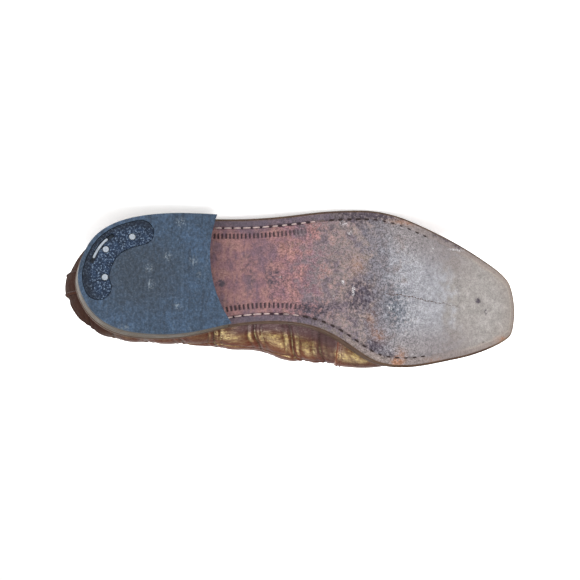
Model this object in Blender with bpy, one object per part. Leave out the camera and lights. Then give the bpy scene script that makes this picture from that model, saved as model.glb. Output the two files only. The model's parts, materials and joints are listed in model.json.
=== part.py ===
"""Cap toe oxford: a right shoe, empty, lying on its outer side.

The shoe is drawn standing on its sole, in millimetres: X runs from heel to toe, Y to the inner side
of the foot, Z up, and the tread of heel and forefoot lies on Z = 0. A parent empty then lays it on
its outer side, at the pose in which sole edge and upper both touch the ground.
"""
import math

import bmesh
import bpy
import numpy as np
from mathutils import Matrix, Vector

MM = 0.001
OUTER, INNER = -1, 1

# Driving sizes
FIT_GAP = 0.3
TOE_SPRING = 9.8
SEAT_HEIGHT = 22.0
SEAT_FRONT_X = 58.0
BALL_BACK_X = 170.0
BALL_FRONT_X = 214.0
SOLE_THICK = 5.0
WELT_THICK = 3.0
RAND_THICK = 1.5
WELT_EDGE = 0.4
WELT_ROUND = 0.6
WELT_ROUND_SHARE = 0.8
RAND_END_X = 60.0
WELT_START_X = 112.0
UPPER_WALL = 2.0
OVERLAY_THICK = 1.1
INSOLE_THICK = 4.0
TONGUE_THICK = 1.8
TONGUE_REACH = 18.0
TONGUE_TILT = math.radians(72)
TONGUE_NECK = 0.5
TONGUE_LOW_V = 0.72
TONGUE_GAP = 0.5
TONGUE_SAG = 4.4
TONGUE_TOP_ROW = 5.02
TONGUE_LOW_ROW = 7.6
LACE_RADIUS = 1.15
LACE_GAP = 0.35
EYELET_ROWS = (5.2, 5.58, 5.96, 6.34, 6.72)
EYELET_V = 0.9
EYELET_RADIUS = 1.5

# Seams of the upper
CAP_SEAM_X = 239.0
VAMP_SEAM_FOOT_X = 150.0
VAMP_SEAM_TOP_X = 187.5
VAMP_SEAM_TOP_Z = 78.0
STRIP_HALF_WIDTH = 7.5
STRIP_FRONT_X = 12.0

# Heel
TOP_PIECE_THICK = 6.0
HEEL_FLARE = 1.7
HEEL_FRONT_X = 96.0
BREAST_CENTRE = (148.1, -19.9)
BREAST_RADIUS = 73.0
PLATE_THICK = 2.0
PLATE_INSET = 11.8
PLATE_HALF_WIDTH = 7.4
PLATE_ENDS = ((OUTER, 30.0), (INNER, -0.4))
SLOT_INSET = 8.0
SLOT_HALF_WIDTH = 1.2
SLOT_ENDS = ((OUTER, 12.0), (OUTER, -1.6))
STAPLE_HALF_WIDTH = 0.75
STAPLE_ENDS = ((OUTER, 8.0), (OUTER, -0.6))
STAPLE_RISE = 0.4
NAIL_RADIUS = 1.9
NAIL_PLACES = ((28.2, -24.5), (13.4, -15.8), (13.8, 0.8))

# Edge of the sole, both sides at the same distance from the back of the heel: x, outer y, inner y
SOLE_EDGE = (
    (-3.2, 0.0, 0.0),
    (0.5, -16.2, 13.6),
    (9.0, -28.3, 24.6),
    (24.0, -37.0, 32.4),
    (45.0, -42.2, 34.4),
    (66.0, -44.2, 32.4),
    (86.0, -44.9, 27.2),
    (104.0, -45.7, 23.5),
    (125.0, -47.9, 22.5),
    (146.0, -51.2, 25.8),
    (165.0, -53.5, 34.9),
    (184.0, -54.8, 45.4),
    (203.0, -52.4, 48.2),
    (220.0, -47.3, 46.6),
    (240.0, -40.3, 42.6),
    (258.0, -33.1, 38.4),
    (276.0, -24.9, 32.2),
    (289.0, -17.8, 26.2),
    (295.0, -9.6, 19.6),
    (297.4, 4.8, 4.8),
)

# Outsole edge from tread to top: how far each line lies inside the edge, and above the tread
SOLE_RINGS = ((1.6, 0.0), (0.5, 0.7), (0.0, 2.0), (0.0, 4.4), (0.5, SOLE_THICK))

# Heel from top piece to seat: inset from the sole edge, and share of the height
STACK_RINGS = ((HEEL_FLARE, 0.0), (1.2, 0.5), (0.5, 1.0))

# Rubber top piece from tread to stack: inset from the sole edge, and height
TOP_PIECE_RINGS = ((HEEL_FLARE + 0.7, 0.0), (HEEL_FLARE + 0.2, 0.6), (HEEL_FLARE, TOP_PIECE_THICK))

# End of the tongue above the facings: shares of its reach and of its neck width
TONGUE_END = ((0.5, 1.0), (0.85, 1.4), (1.0, 1.1))

# Sections of the upper, from the back of the heel to the toe. Each is one curve from the feather
# line beside the sole up to the top edge: it leaves the feather leaning outwards by "lean" over the
# length "low", and reaches the top edge from the plan direction "aim", "crown" below the horizontal,
# over the length "high".
SECTION_COLUMNS = ("feather_x", "shelf", "top_x", "top_y", "top_z", "aim", "lean", "low", "crown", "high")
HEEL_BACK = (-3.2, 1.6, -2.6, -0.6, 89.0, 180, 30, 24, 75, 22)
TOE_TIP = (297.4, 5.0, 256.0, 4.0, 46.0, 0, 2, 14, 0, 23)
OUTER_SECTIONS = (
    (8.0, 1.8, 6.5, -16.5, 87.0, 135, 24, 23, 76, 22),      # heel quarter
    (30.0, 2.6, 31.0, -28.5, 81.5, 105, 13, 22, 78, 22),    # heel side
    (62.0, 3.0, 62.0, -32.5, 77.0, 92, 7, 21, 78, 20),      # collar dip
    (97.0, 2.4, 92.0, -25.0, 87.0, 90, 9, 24, 60, 22),      # collar front
    (122.0, 2.2, 112.0, -5.6, 107.0, 90, 9, 26, 27, 25),    # facing top
    (152.0, 2.6, 148.0, -2.0, 92.5, 90, 7, 24, 13, 27),     # facing middle
    (184.0, 3.8, 184.0, 2.0, 76.0, 90, 5, 20, 5, 28),       # throat
    (214.0, 4.6, 206.0, 2.4, 66.0, 84, 3, 18, 0, 28),       # ball
    (248.0, 5.0, 228.0, 2.9, 56.6, 70, 2, 16, 0, 25),       # vamp front
    (279.0, 5.0, 246.0, 3.5, 49.6, 42, 1, 14, 0, 23),       # toe corner
)
INNER_SECTIONS = (
    (8.0, 1.6, 6.5, 14.0, 87.5, 135, 28, 24, 76, 22),       # heel quarter
    (30.0, 1.3, 31.0, 21.0, 83.0, 105, 22, 24, 76, 24),     # heel side
    (64.0, 1.2, 63.0, 23.5, 79.5, 92, 25, 26, 74, 24),      # collar dip
    (98.0, 1.1, 92.0, 19.0, 89.0, 90, 50, 33, 50, 28),      # collar front
    (122.0, 1.1, 112.0, 2.6, 107.5, 90, 56, 47, 27, 28),    # facing top
    (152.0, 1.6, 148.0, 3.0, 93.0, 90, 48, 45, 13, 28),     # facing middle
    (184.0, 3.0, 184.0, 2.0, 76.0, 90, 25, 23, 5, 28),      # throat
    (212.0, 4.2, 206.0, 2.4, 66.0, 84, 9, 19, 0, 28),       # ball
    (245.0, 4.8, 228.0, 2.9, 56.6, 70, 3, 16, 0, 25),       # vamp front
    (278.0, 5.0, 246.0, 3.5, 49.6, 42, 1, 14, 0, 23),       # toe corner
)
FACING_TOP, THROAT, TIP = 5, 7, 11
RING_ROWS = 2 * TIP
SPAN_SEGMENTS = (4, 4, 4, 4, 4, 4, 4, 4, 4, 4, 5)
HEIGHT_SEGMENTS = 10

# Numbers of stations and sides
EDGE_STEPS = 40
SOLE_STATIONS = 42
INSOLE_STATIONS = 38
HEEL_STATIONS = 24
WELT_STATIONS = 28
WELT_TOE_STATIONS = 13
WELT_TOE_SHARE = 0.8
PLATE_STATIONS = 22
SLOT_STATIONS = 12
STAPLE_STATIONS = 8
ROUND_END_STEPS = 8
BREAST_SIDES = 120
NAIL_SIDES = 20
EYELET_SIDES = 10
TONGUE_STATIONS = 15
TONGUE_SIDE_STATIONS = 7

# Reach of the cutters past what they cut
CUT_MARGIN = 2.0
SEAM_MARGIN = 9.0
FAR = 400.0

# Finishes: colour, roughness, metallic
FINISHES = {
    "sole_leather": ((0.33, 0.22, 0.17), 0.6, 0.0),
    "edge_leather": ((0.13, 0.07, 0.05), 0.45, 0.0),
    "heel_leather": ((0.20, 0.13, 0.10), 0.5, 0.0),
    "heel_rubber": ((0.20, 0.24, 0.29), 0.7, 0.0),
    "plate_rubber": ((0.04, 0.05, 0.09), 0.5, 0.0),
    "steel": ((0.75, 0.75, 0.73), 0.3, 1.0),
    "scaled_leather": ((0.23, 0.09, 0.04), 0.3, 0.0),
    "lining_leather": ((0.50, 0.34, 0.22), 0.6, 0.0),
    "lace_cord": ((0.09, 0.05, 0.03), 0.7, 0.0),
}


def ease(share):
    """Smooth step from 0 to 1."""
    share = np.clip(share, 0.0, 1.0)
    return share * share * (3.0 - 2.0 * share)


def spline(points, at, closed=False):
    """Smooth cubic curve through points numbered 0, 1, 2 and so on, read at the given numbers."""
    points = np.asarray(points, float)
    count = len(points)
    system = np.zeros((count, count))
    rises = np.zeros_like(points)
    for row in range(count):
        before, after = row - 1, row + 1
        if closed:
            after %= count
        elif row == 0:
            before = row
        elif after == count:
            after = row
        system[row, row] += 4.0 if before != row and after != row else 2.0
        for other in {before, after} - {row}:
            system[row, other] += 1.0
        rises[row] = 3.0 * (points[after] - points[before])
    slopes = np.linalg.solve(system, rises)
    at = np.asarray(at, float)
    base = np.floor(at).astype(int)
    if closed:
        start, end = base % count, (base + 1) % count
    else:
        base = np.clip(base, 0, count - 2)
        start, end = base, base + 1
    t = (at - base)[:, None]
    near = (1 + 2 * t) * (1 - t) ** 2 * points[start] + t * (1 - t) ** 2 * slopes[start]
    far = t * t * (3 - 2 * t) * points[end] + t * t * (t - 1) * slopes[end]
    return near + far


def sole_edge_loop():
    """Dense edge of the sole: points, inward normals and share, 0 at the heel, 1 at the toe, 2 back again."""
    outer = [(x, outer_y) for x, outer_y, _ in SOLE_EDGE]
    inner = [(x, inner_y) for x, _, inner_y in SOLE_EDGE[-2:0:-1]]
    loop = outer + inner
    dense = spline(loop, np.arange(len(loop) * EDGE_STEPS + 1) / EDGE_STEPS, closed=True)
    run = np.gradient(dense, axis=0)
    run[[0, -1]] = run[0] + run[-1]
    run /= np.linalg.norm(run, axis=1)[:, None]
    inward = np.column_stack((-run[:, 1], run[:, 0]))
    length = np.concatenate(([0.0], np.cumsum(np.linalg.norm(np.diff(dense, axis=0), axis=1))))
    toe = (len(SOLE_EDGE) - 1) * EDGE_STEPS
    outer_share = length / length[toe]
    inner_share = 1 + (length - length[toe]) / (length[-1] - length[toe])
    return dense, inward, np.where(np.arange(len(dense)) <= toe, outer_share, inner_share)


EDGE_POINTS, EDGE_INWARD, EDGE_SHARE = sole_edge_loop()
SIDE_ORDER = {OUTER: np.flatnonzero(EDGE_SHARE <= 1), INNER: np.flatnonzero(EDGE_SHARE >= 1)[::-1]}


def edge_share(side, x):
    """Share of the sole edge where one side reaches X: positive on the outer side, negative on the inner."""
    order = SIDE_ORDER[side]
    share = np.interp(x, EDGE_POINTS[order, 0], EDGE_SHARE[order])
    return share if side == OUTER else share - 2


def edge_point(share, inset):
    """Points a distance inside the sole edge."""
    share = np.atleast_1d(share) % 2
    place = [np.interp(share, EDGE_SHARE, EDGE_POINTS[:, axis]) for axis in (0, 1)]
    inward = [np.interp(share, EDGE_SHARE, EDGE_INWARD[:, axis]) for axis in (0, 1)]
    return np.column_stack(place) + np.reshape(inset, (-1, 1)) * np.column_stack(inward)


def paired_edge(inset, count, end_x=None):
    """Points at equal X on both sides, a distance inside the sole edge: X, outer Y and inner Y."""
    outer, inner = (edge_point(EDGE_SHARE[order], inset[order]) for order in SIDE_ORDER.values())
    outer[0], outer[-1] = inner[0], inner[-1]
    turn = np.linspace(0.0, math.pi if end_x is None else math.pi / 2, count)
    reach = (1 - np.cos(turn)) / (1 - math.cos(turn[-1]))
    toe_x = outer[-1, 0] if end_x is None else end_x
    x = outer[0, 0] + (toe_x - outer[0, 0]) * reach
    return x, np.interp(x, outer[:, 0], outer[:, 1]), np.interp(x, inner[:, 0], inner[:, 1])


def even_inset(inset):
    """The same inset all round the sole edge."""
    return np.full(len(EDGE_SHARE), float(inset))


def sole_bottom(x):
    """Underside of the outsole: heel seat, arch, flat forefoot and toe spring."""
    toe_x = SOLE_EDGE[-1][0]
    arch = SEAT_HEIGHT * ease((BALL_BACK_X - x) / (BALL_BACK_X - SEAT_FRONT_X))
    lift = np.clip((x - BALL_FRONT_X) / (toe_x - BALL_FRONT_X), 0.0, None)
    return arch + TOE_SPRING * lift ** 2


def welt_thick(x):
    """Welt round the forefoot, thinner as a rand round the heel seat."""
    return RAND_THICK + (WELT_THICK - RAND_THICK) * ease((x - RAND_END_X) / (WELT_START_X - RAND_END_X))


def feather_height(x):
    """Height of the lower edge of the upper, on top of the welt."""
    return sole_bottom(x) + SOLE_THICK + welt_thick(x) + 2 * FIT_GAP


def ring_sections():
    """Section rows round the whole shoe: heel back, outer side, toe tip and inner side back again."""
    rows = [(OUTER, HEEL_BACK)]
    rows += [(OUTER, row) for row in OUTER_SECTIONS]
    rows += [(OUTER, TOE_TIP)]
    rows += [(INNER, row) for row in reversed(INNER_SECTIONS)]
    return [(side, dict(zip(SECTION_COLUMNS, row))) for side, row in rows]


SECTIONS = ring_sections()
SECTION_SHARES = [edge_share(side, row["feather_x"]) % 2 for side, row in SECTIONS] + [2.0]


def section_column(name):
    """One column of the section rows, round the whole shoe."""
    return np.array([[float(row[name])] for _, row in SECTIONS])


def high_handles():
    """Handle of each section at its top edge."""
    tops = TOP_POINTS
    handles = []
    for number, (side, row) in enumerate(SECTIONS):
        slope = 0.0
        ridge_row = min(number, RING_ROWS - number)
        if ridge_row >= THROAT:
            ahead = tops[min(ridge_row + 1, TIP)] - tops[ridge_row - 1]
            slope = ahead[2] / ahead[0]
        aim, crown = math.radians(row["aim"]), math.radians(row["crown"])
        plan = np.array([math.cos(aim), side * math.sin(aim), slope * math.cos(aim)])
        handle = math.cos(crown) * plan - np.array([0.0, 0.0, math.sin(crown)])
        handles.append(tops[number] + row["high"] * handle)
    return np.array(handles)


TOP_POINTS = np.hstack([section_column(name) for name in ("top_x", "top_y", "top_z")])
HIGH_POINTS = high_handles()


def shelf_width(share):
    """How far the upper stands inside the sole edge."""
    widths = [row["shelf"] for _, row in SECTIONS]
    return np.interp(np.asarray(share) % 2, SECTION_SHARES, widths + widths[:1])


def top_edge(ring):
    """Collar, facing and vamp ridge: smooth runs that meet in corners at facing top and throat."""
    tops = TOP_POINTS
    ring = np.asarray(ring, float)
    number = np.minimum(ring, RING_ROWS - ring)
    found = np.zeros((len(ring), 3))
    collar_rows = np.arange(-FACING_TOP, FACING_TOP + 1)
    collar = number <= FACING_TOP
    signed = np.where(ring > TIP, ring - RING_ROWS, ring)
    found[collar] = spline(tops[collar_rows], signed[collar] + FACING_TOP)
    ridge = number >= THROAT
    found[ridge] = spline(tops[THROAT:RING_ROWS - THROAT + 1], ring[ridge] - THROAT)
    for first in (FACING_TOP, RING_ROWS - THROAT):
        facing = (ring > first) & (ring < first + THROAT - FACING_TOP)
        found[facing] = spline(tops[first:first + THROAT - FACING_TOP + 1], ring[facing] - first)
    return found


def surface(ring, height):
    """Outer face of the upper: ring runs round the sections, height from feather 0 to top edge 1."""
    ring, height = np.broadcast_arrays(np.asarray(ring, float), np.asarray(height, float))
    shape = ring.shape
    ring, t = ring.ravel() % RING_ROWS, height.ravel()[:, None]
    share = spline(np.reshape(SECTION_SHARES, (-1, 1)), ring)[:, 0]
    foot = edge_point(share, shelf_width(share))
    outward = foot - edge_point(share, shelf_width(share) + 1.0)
    feather = np.column_stack((foot, feather_height(foot[:, 0])))
    lean = np.radians(spline(section_column("lean"), ring, closed=True))
    length = spline(section_column("low"), ring, closed=True)
    low = feather + length * np.hstack((np.sin(lean) * outward, np.cos(lean)))
    high = spline(HIGH_POINTS, ring, closed=True)
    curve = (1 - t) ** 3 * feather + 3 * t * (1 - t) ** 2 * low
    curve = curve + 3 * t * t * (1 - t) * high + t ** 3 * top_edge(ring)
    return curve.reshape(*shape, 3)


def surface_normal(ring, height):
    """Outward normal of the upper's outer face."""
    step = 0.004
    ring, height = np.asarray(ring, float), np.clip(height, step, 1 - step)
    around = surface(ring + step, height) - surface(ring - step, height)
    upward = surface(ring, height + step) - surface(ring, height - step)
    normal = np.cross(around, upward)
    return normal / np.linalg.norm(normal, axis=-1)[..., None]


def side_rows():
    """Section numbers of the grid along one side."""
    rows = [np.linspace(k, k + 1, count, endpoint=False) for k, count in enumerate(SPAN_SEGMENTS)]
    return np.concatenate(rows)


def point_normals(points, faces):
    """Normals of a mesh at its points, from the faces round each."""
    normals = np.zeros_like(points)
    for face in faces:
        corners = points[list(face)]
        normal = np.cross(corners[1] - corners[0], corners[-1] - corners[0])
        for corner in face:
            normals[corner] += normal
    return normals / np.linalg.norm(normals, axis=1)[:, None]


def upper_skin():
    """Outer face of the upper as points, normals and faces, open at the collar and underneath."""
    side = side_rows()
    ring = np.concatenate((side, [TIP], RING_ROWS - side[:0:-1]))
    height = np.linspace(0, 1, HEIGHT_SEGMENTS + 1)
    grid = surface(ring[:, None], height[None, :])
    columns, rows = grid.shape[:2]
    index = np.arange(columns * rows).reshape(columns, rows)
    for column in range(columns):
        if TIP < ring[column] <= RING_ROWS - THROAT:
            index[column, -1] = index[columns - column, -1]
    faces = []
    for column in range(columns):
        after = (column + 1) % columns
        for row in range(rows - 1):
            faces.append((index[column, row], index[after, row], index[after, row + 1]))
            faces.append((index[column, row], index[after, row + 1], index[column, row + 1]))
    points = grid.reshape(-1, 3)
    used, compact = np.unique(np.array(faces), return_inverse=True)
    faces = [tuple(face) for face in compact.reshape(-1, 3)]
    points = points[used]
    normals = point_normals(points, faces)
    rim = used % rows == 0
    level = np.linalg.norm(normals[rim, :2], axis=1)
    normals[rim] /= level[:, None]
    slope = feather_height(points[rim, 0] + 0.5) - feather_height(points[rim, 0] - 0.5)
    normals[rim, 2] = normals[rim, 0] * slope
    return points, normals, faces


def mesh_object(name, points, faces, finish):
    """A closed mesh object in metres, with its faces turned outwards."""
    mesh = bpy.data.meshes.new(name)
    mesh.from_pydata([tuple(point) for point in np.asarray(points) * MM], [], faces)
    body = bmesh.new()
    body.from_mesh(mesh)
    bmesh.ops.remove_doubles(body, verts=body.verts, dist=1e-7)
    bmesh.ops.dissolve_degenerate(body, edges=body.edges, dist=1e-7)
    bmesh.ops.recalc_face_normals(body, faces=body.faces)
    body.to_mesh(mesh)
    body.free()
    made = bpy.data.objects.new(name, mesh)
    if finish is None:
        made.hide_render = True
        made.display_type = "WIRE"
        CUTTERS.objects.link(made)
    else:
        mesh.materials.append(bpy.data.materials[finish])
        mesh.shade_smooth()
        mesh.set_sharp_from_angle(angle=math.radians(35))
        SHOE.objects.link(made)
    return made


def thicken(name, skin, low, high, finish, keep=None):
    """Closed wall between two offsets of a skin, over the faces that keep accepts."""
    points, normals, faces = skin
    if keep is not None:
        faces = [face for face in faces if keep(points[list(face)].mean(axis=0))]
    count = len(points)
    edges = {(face[k - 1], face[k]) for face in faces for k in range(len(face))}
    walls = list(faces)
    walls += [tuple(corner + count for corner in reversed(face)) for face in faces]
    walls += [(b, a, a + count, b + count) for a, b in edges if (b, a) not in edges]
    both = np.concatenate((points + high * normals, points + low * normals))
    used = sorted({corner for wall in walls for corner in wall})
    place = {corner: number for number, corner in enumerate(used)}
    walls = [tuple(place[corner] for corner in wall) for wall in walls]
    return mesh_object(name, both[used], walls, finish)


def slab(name, rings, finish):
    """Solid through rings of paired edge points, each ring an X, outer Y, inner Y and Z."""
    points, faces = [], []
    count = len(rings[0][0])
    around = 2 * count
    for x, outer_y, inner_y, z in rings:
        points += list(zip(x, outer_y, z))
        points += list(zip(x[::-1], inner_y[::-1], z[::-1]))
    for level in range(len(rings) - 1):
        base = level * around
        for k in range(around):
            after = (k + 1) % around
            faces.append((base + k, base + after, base + around + after, base + around + k))
    for base in (0, (len(rings) - 1) * around):
        for k in range(count - 1):
            faces.append((base + k, base + k + 1, base + around - 2 - k, base + around - 1 - k))
    return mesh_object(name, points, faces, finish)


def prism(name, outline, low, high, finish):
    """A flat outline pulled up between two heights."""
    count = len(outline)
    points = [(x, y, z) for z in (low, high) for x, y in outline]
    faces = [tuple(range(count)), tuple(range(count, 2 * count))]
    faces += [(k, (k + 1) % count, count + (k + 1) % count, count + k) for k in range(count)]
    return mesh_object(name, points, faces, finish)


def cylinder(name, centre, radius, low, high, sides, finish):
    """An upright round piece."""
    turn = np.arange(sides) * 2 * math.pi / sides
    outline = [(centre[0] + radius * math.cos(a), centre[1] + radius * math.sin(a)) for a in turn]
    return prism(name, outline, low, high, finish)


def cut(piece, cutter, operation="DIFFERENCE"):
    """Cut one mesh with another."""
    change = piece.modifiers.new(cutter.name, "BOOLEAN")
    change.operation = operation
    change.solver = "EXACT"
    change.object = cutter


def heel_band(inset, half_width, ends, count):
    """Outline of a strip that follows the back of the heel, with round ends."""
    first, last = (edge_share(side, x) for side, x in ends)
    middle = edge_point(np.linspace(first, last, count), inset)
    run = np.gradient(middle, axis=0)
    run /= np.linalg.norm(run, axis=1)[:, None]
    left = np.column_stack((-run[:, 1], run[:, 0])) * half_width
    turn = np.linspace(0, math.pi, ROUND_END_STEPS)[1:-1]
    start = [middle[0] - math.sin(a) * run[0] * half_width - math.cos(a) * left[0] for a in turn]
    end = [middle[-1] + math.sin(a) * run[-1] * half_width + math.cos(a) * left[-1] for a in turn]
    return [*(middle + left), *end, *(middle - left)[::-1], *start]


def make_outsole():
    rings = []
    for inset, rise in SOLE_RINGS:
        x, outer_y, inner_y = paired_edge(even_inset(inset), SOLE_STATIONS)
        rings.append((x, outer_y, inner_y, sole_bottom(x) + rise))
    slab("outsole", rings, "sole_leather")


def make_welt():
    """Strip round the sole edge, under the lower edge of the upper."""
    back = np.linspace(0, WELT_TOE_SHARE, WELT_STATIONS, endpoint=False)
    side = np.concatenate((back, np.linspace(WELT_TOE_SHARE, 1, WELT_TOE_STATIONS)))
    shares = np.concatenate((side, 2 - side[-2:0:-1]))
    inner_inset = shelf_width(shares) + UPPER_WALL + FIT_GAP
    edge_inset = np.full_like(shares, WELT_EDGE)
    corners = ((edge_inset, 0.0), (edge_inset, WELT_ROUND_SHARE), (edge_inset + WELT_ROUND, 1.0),
               (inner_inset, 1.0), (inner_inset, 0.0))
    lines = []
    for inset, rise in corners:
        plan = edge_point(shares, inset)
        low = sole_bottom(plan[:, 0]) + SOLE_THICK + FIT_GAP
        lines.append(np.column_stack((plan, low + rise * welt_thick(plan[:, 0]))))
    count = len(shares)
    faces = []
    for line in range(len(lines)):
        base, next_base = count * line, count * ((line + 1) % len(lines))
        for k in range(count):
            after = (k + 1) % count
            faces.append((base + k, base + after, next_base + after, next_base + k))
    mesh_object("welt", np.concatenate(lines), faces, "edge_leather")


def make_insole():
    inset = shelf_width(EDGE_SHARE) + UPPER_WALL + 3 * FIT_GAP
    x, outer_y, inner_y = paired_edge(inset, INSOLE_STATIONS)
    low = sole_bottom(x) + SOLE_THICK + FIT_GAP
    slab("insole", [(x, outer_y, inner_y, low), (x, outer_y, inner_y, low + INSOLE_THICK)],
         "lining_leather")


def make_heel():
    """Stacked lifts, rubber top piece with its inlaid plate, plate nails and staple."""
    breast = cylinder("breast_cutter", BREAST_CENTRE, BREAST_RADIUS, -CUT_MARGIN, 2 * SEAT_HEIGHT,
                      BREAST_SIDES, None)
    rings = []
    for inset, share in STACK_RINGS:
        x, outer_y, inner_y = paired_edge(even_inset(inset), HEEL_STATIONS, HEEL_FRONT_X)
        low = TOP_PIECE_THICK + FIT_GAP
        rings.append((x, outer_y, inner_y, low + share * (sole_bottom(x) - FIT_GAP - low)))
    cut(slab("heel_stack", rings, "heel_leather"), breast)
    rings = []
    for inset, z in TOP_PIECE_RINGS:
        x, outer_y, inner_y = paired_edge(even_inset(inset), HEEL_STATIONS, HEEL_FRONT_X)
        rings.append((x, outer_y, inner_y, np.full_like(x, z)))
    top_piece = slab("heel_top_piece", rings, "heel_rubber")
    cut(top_piece, breast)
    pocket = heel_band(PLATE_INSET, PLATE_HALF_WIDTH + FIT_GAP, PLATE_ENDS, PLATE_STATIONS)
    cut(top_piece, prism("pocket_cutter", pocket, -CUT_MARGIN, PLATE_THICK + FIT_GAP, None))
    outline = heel_band(PLATE_INSET, PLATE_HALF_WIDTH, PLATE_ENDS, PLATE_STATIONS)
    plate = prism("heel_plate", outline, 0, PLATE_THICK, "plate_rubber")
    through = (-CUT_MARGIN, PLATE_THICK + CUT_MARGIN)
    slot = heel_band(SLOT_INSET, SLOT_HALF_WIDTH, SLOT_ENDS, SLOT_STATIONS)
    cut(plate, prism("slot_cutter", slot, *through, None))
    staple = heel_band(SLOT_INSET, STAPLE_HALF_WIDTH, STAPLE_ENDS, STAPLE_STATIONS)
    prism("heel_staple", staple, STAPLE_RISE, PLATE_THICK, "steel")
    for number, place in enumerate(NAIL_PLACES, 1):
        hole = cylinder(f"nail_cutter_{number}", place, NAIL_RADIUS + FIT_GAP, *through, NAIL_SIDES, None)
        cut(plate, hole)
        cylinder(f"heel_nail_{number}", place, NAIL_RADIUS, 0, PLATE_THICK, NAIL_SIDES, "steel")


def eyelet_cutter():
    """Round punches through both facings, square to their faces."""
    mesh = bpy.data.meshes.new("eyelet_cutter")
    punches = bmesh.new()
    for row in EYELET_ROWS:
        for ring in (row, RING_ROWS - row):
            place = Vector(surface([ring], [EYELET_V])[0] * MM)
            axis = Vector(surface_normal([ring], [EYELET_V])[0])
            frame = Matrix.Translation(place) @ axis.to_track_quat("Z", "Y").to_matrix().to_4x4()
            bmesh.ops.create_cone(punches, cap_ends=True, segments=EYELET_SIDES, matrix=frame,
                                  radius1=EYELET_RADIUS * MM, radius2=EYELET_RADIUS * MM,
                                  depth=4 * UPPER_WALL * MM)
    punches.to_mesh(mesh)
    punches.free()
    made = bpy.data.objects.new("eyelet_cutter", mesh)
    made.hide_render = True
    made.display_type = "WIRE"
    CUTTERS.objects.link(made)
    return made


def seam_x(z):
    """X of the seam between vamp and quarters."""
    return VAMP_SEAM_FOOT_X + (VAMP_SEAM_TOP_X - VAMP_SEAM_FOOT_X) * z / VAMP_SEAM_TOP_Z


def make_upper():
    """Hollow upper with the vamp, toe cap and back strip that lie on it."""
    skin = upper_skin()
    upper = thicken("upper", skin, -UPPER_WALL, 0.0, "scaled_leather")
    cut(upper, eyelet_cutter())
    low, high = FIT_GAP, FIT_GAP + OVERLAY_THICK
    cap = thicken("toe_cap", skin, low, high + FIT_GAP, "scaled_leather",
                  lambda middle: middle[0] > CAP_SEAM_X - SEAM_MARGIN)
    block = [(CAP_SEAM_X, -FAR), (FAR, -FAR), (FAR, FAR), (CAP_SEAM_X, FAR)]
    cut(cap, prism("cap_cutter", block, -FAR, FAR, None), "INTERSECT")
    vamp = thicken("vamp", skin, low, high, "scaled_leather",
                   lambda middle: seam_x(middle[2]) - SEAM_MARGIN < middle[0] < CAP_SEAM_X + SEAM_MARGIN)
    front_x = CAP_SEAM_X - FIT_GAP
    tall = 2 * VAMP_SEAM_TOP_Z
    profile = [(seam_x(0), 0), (front_x, 0), (front_x, tall), (seam_x(tall), tall)]
    wedge = prism("vamp_cutter", profile, -FAR, FAR, None)
    wedge.data.transform(Matrix.Rotation(math.pi / 2, 4, "X"))
    cut(vamp, wedge, "INTERSECT")
    reach = (STRIP_FRONT_X + SEAM_MARGIN, STRIP_HALF_WIDTH + SEAM_MARGIN)
    strip = thicken("back_strip", skin, low, high, "scaled_leather",
                    lambda middle: middle[0] < reach[0] and abs(middle[1]) < reach[1])
    block = [(-FAR, -STRIP_HALF_WIDTH), (STRIP_FRONT_X, -STRIP_HALF_WIDTH),
             (STRIP_FRONT_X, STRIP_HALF_WIDTH), (-FAR, STRIP_HALF_WIDTH)]
    cut(strip, prism("strip_cutter", block, -FAR, FAR, None), "INTERSECT")


def tongue_line(row, across):
    """One line across the tongue, just under the facings: from outer side 0 to inner side 1."""
    heights = np.linspace(TONGUE_LOW_V, 1.0, TONGUE_SIDE_STATIONS)
    ring = np.repeat((row, RING_ROWS - row), TONGUE_SIDE_STATIONS)
    height = np.concatenate((heights, heights[::-1]))
    depth = UPPER_WALL + TONGUE_GAP + TONGUE_SAG * (1 - ease(row - FACING_TOP))
    line = surface(ring, height) - depth * surface_normal(ring, height)
    steps = np.linalg.norm(np.diff(line, axis=0), axis=1)
    share = np.concatenate(([0.0], np.cumsum(steps)))
    return np.column_stack([np.interp(across, share / share[-1], line[:, axis]) for axis in range(3)])


def make_tongue():
    """Curved leaf under the facings, narrower towards its rounded end above them."""
    side = side_rows()
    rows = np.append(TONGUE_TOP_ROW, side[(side > TONGUE_TOP_ROW) & (side <= TONGUE_LOW_ROW)])
    across = np.linspace(0, 1, TONGUE_STATIONS)
    widths = TONGUE_NECK + (1 - TONGUE_NECK) * ease(rows - FACING_TOP)
    leaf = [tongue_line(row, 0.5 + (across - 0.5) * width) for row, width in zip(rows, widths)]
    rise = np.array([-math.sin(TONGUE_TILT), 0.0, math.cos(TONGUE_TILT)])
    for reach, width in TONGUE_END:
        top = tongue_line(rows[0], 0.5 + (across - 0.5) * TONGUE_NECK * width)
        leaf.insert(0, top + TONGUE_REACH * reach * rise)
    points = np.concatenate(leaf)
    count = len(across)
    faces = []
    for row in range(len(leaf) - 1):
        for k in range(count - 1):
            base = row * count + k
            faces.append((base, base + count, base + count + 1, base + 1))
    normals = point_normals(points, faces)
    thicken("tongue", (points, normals, faces), -TONGUE_THICK, 0.0, "lining_leather")


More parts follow.
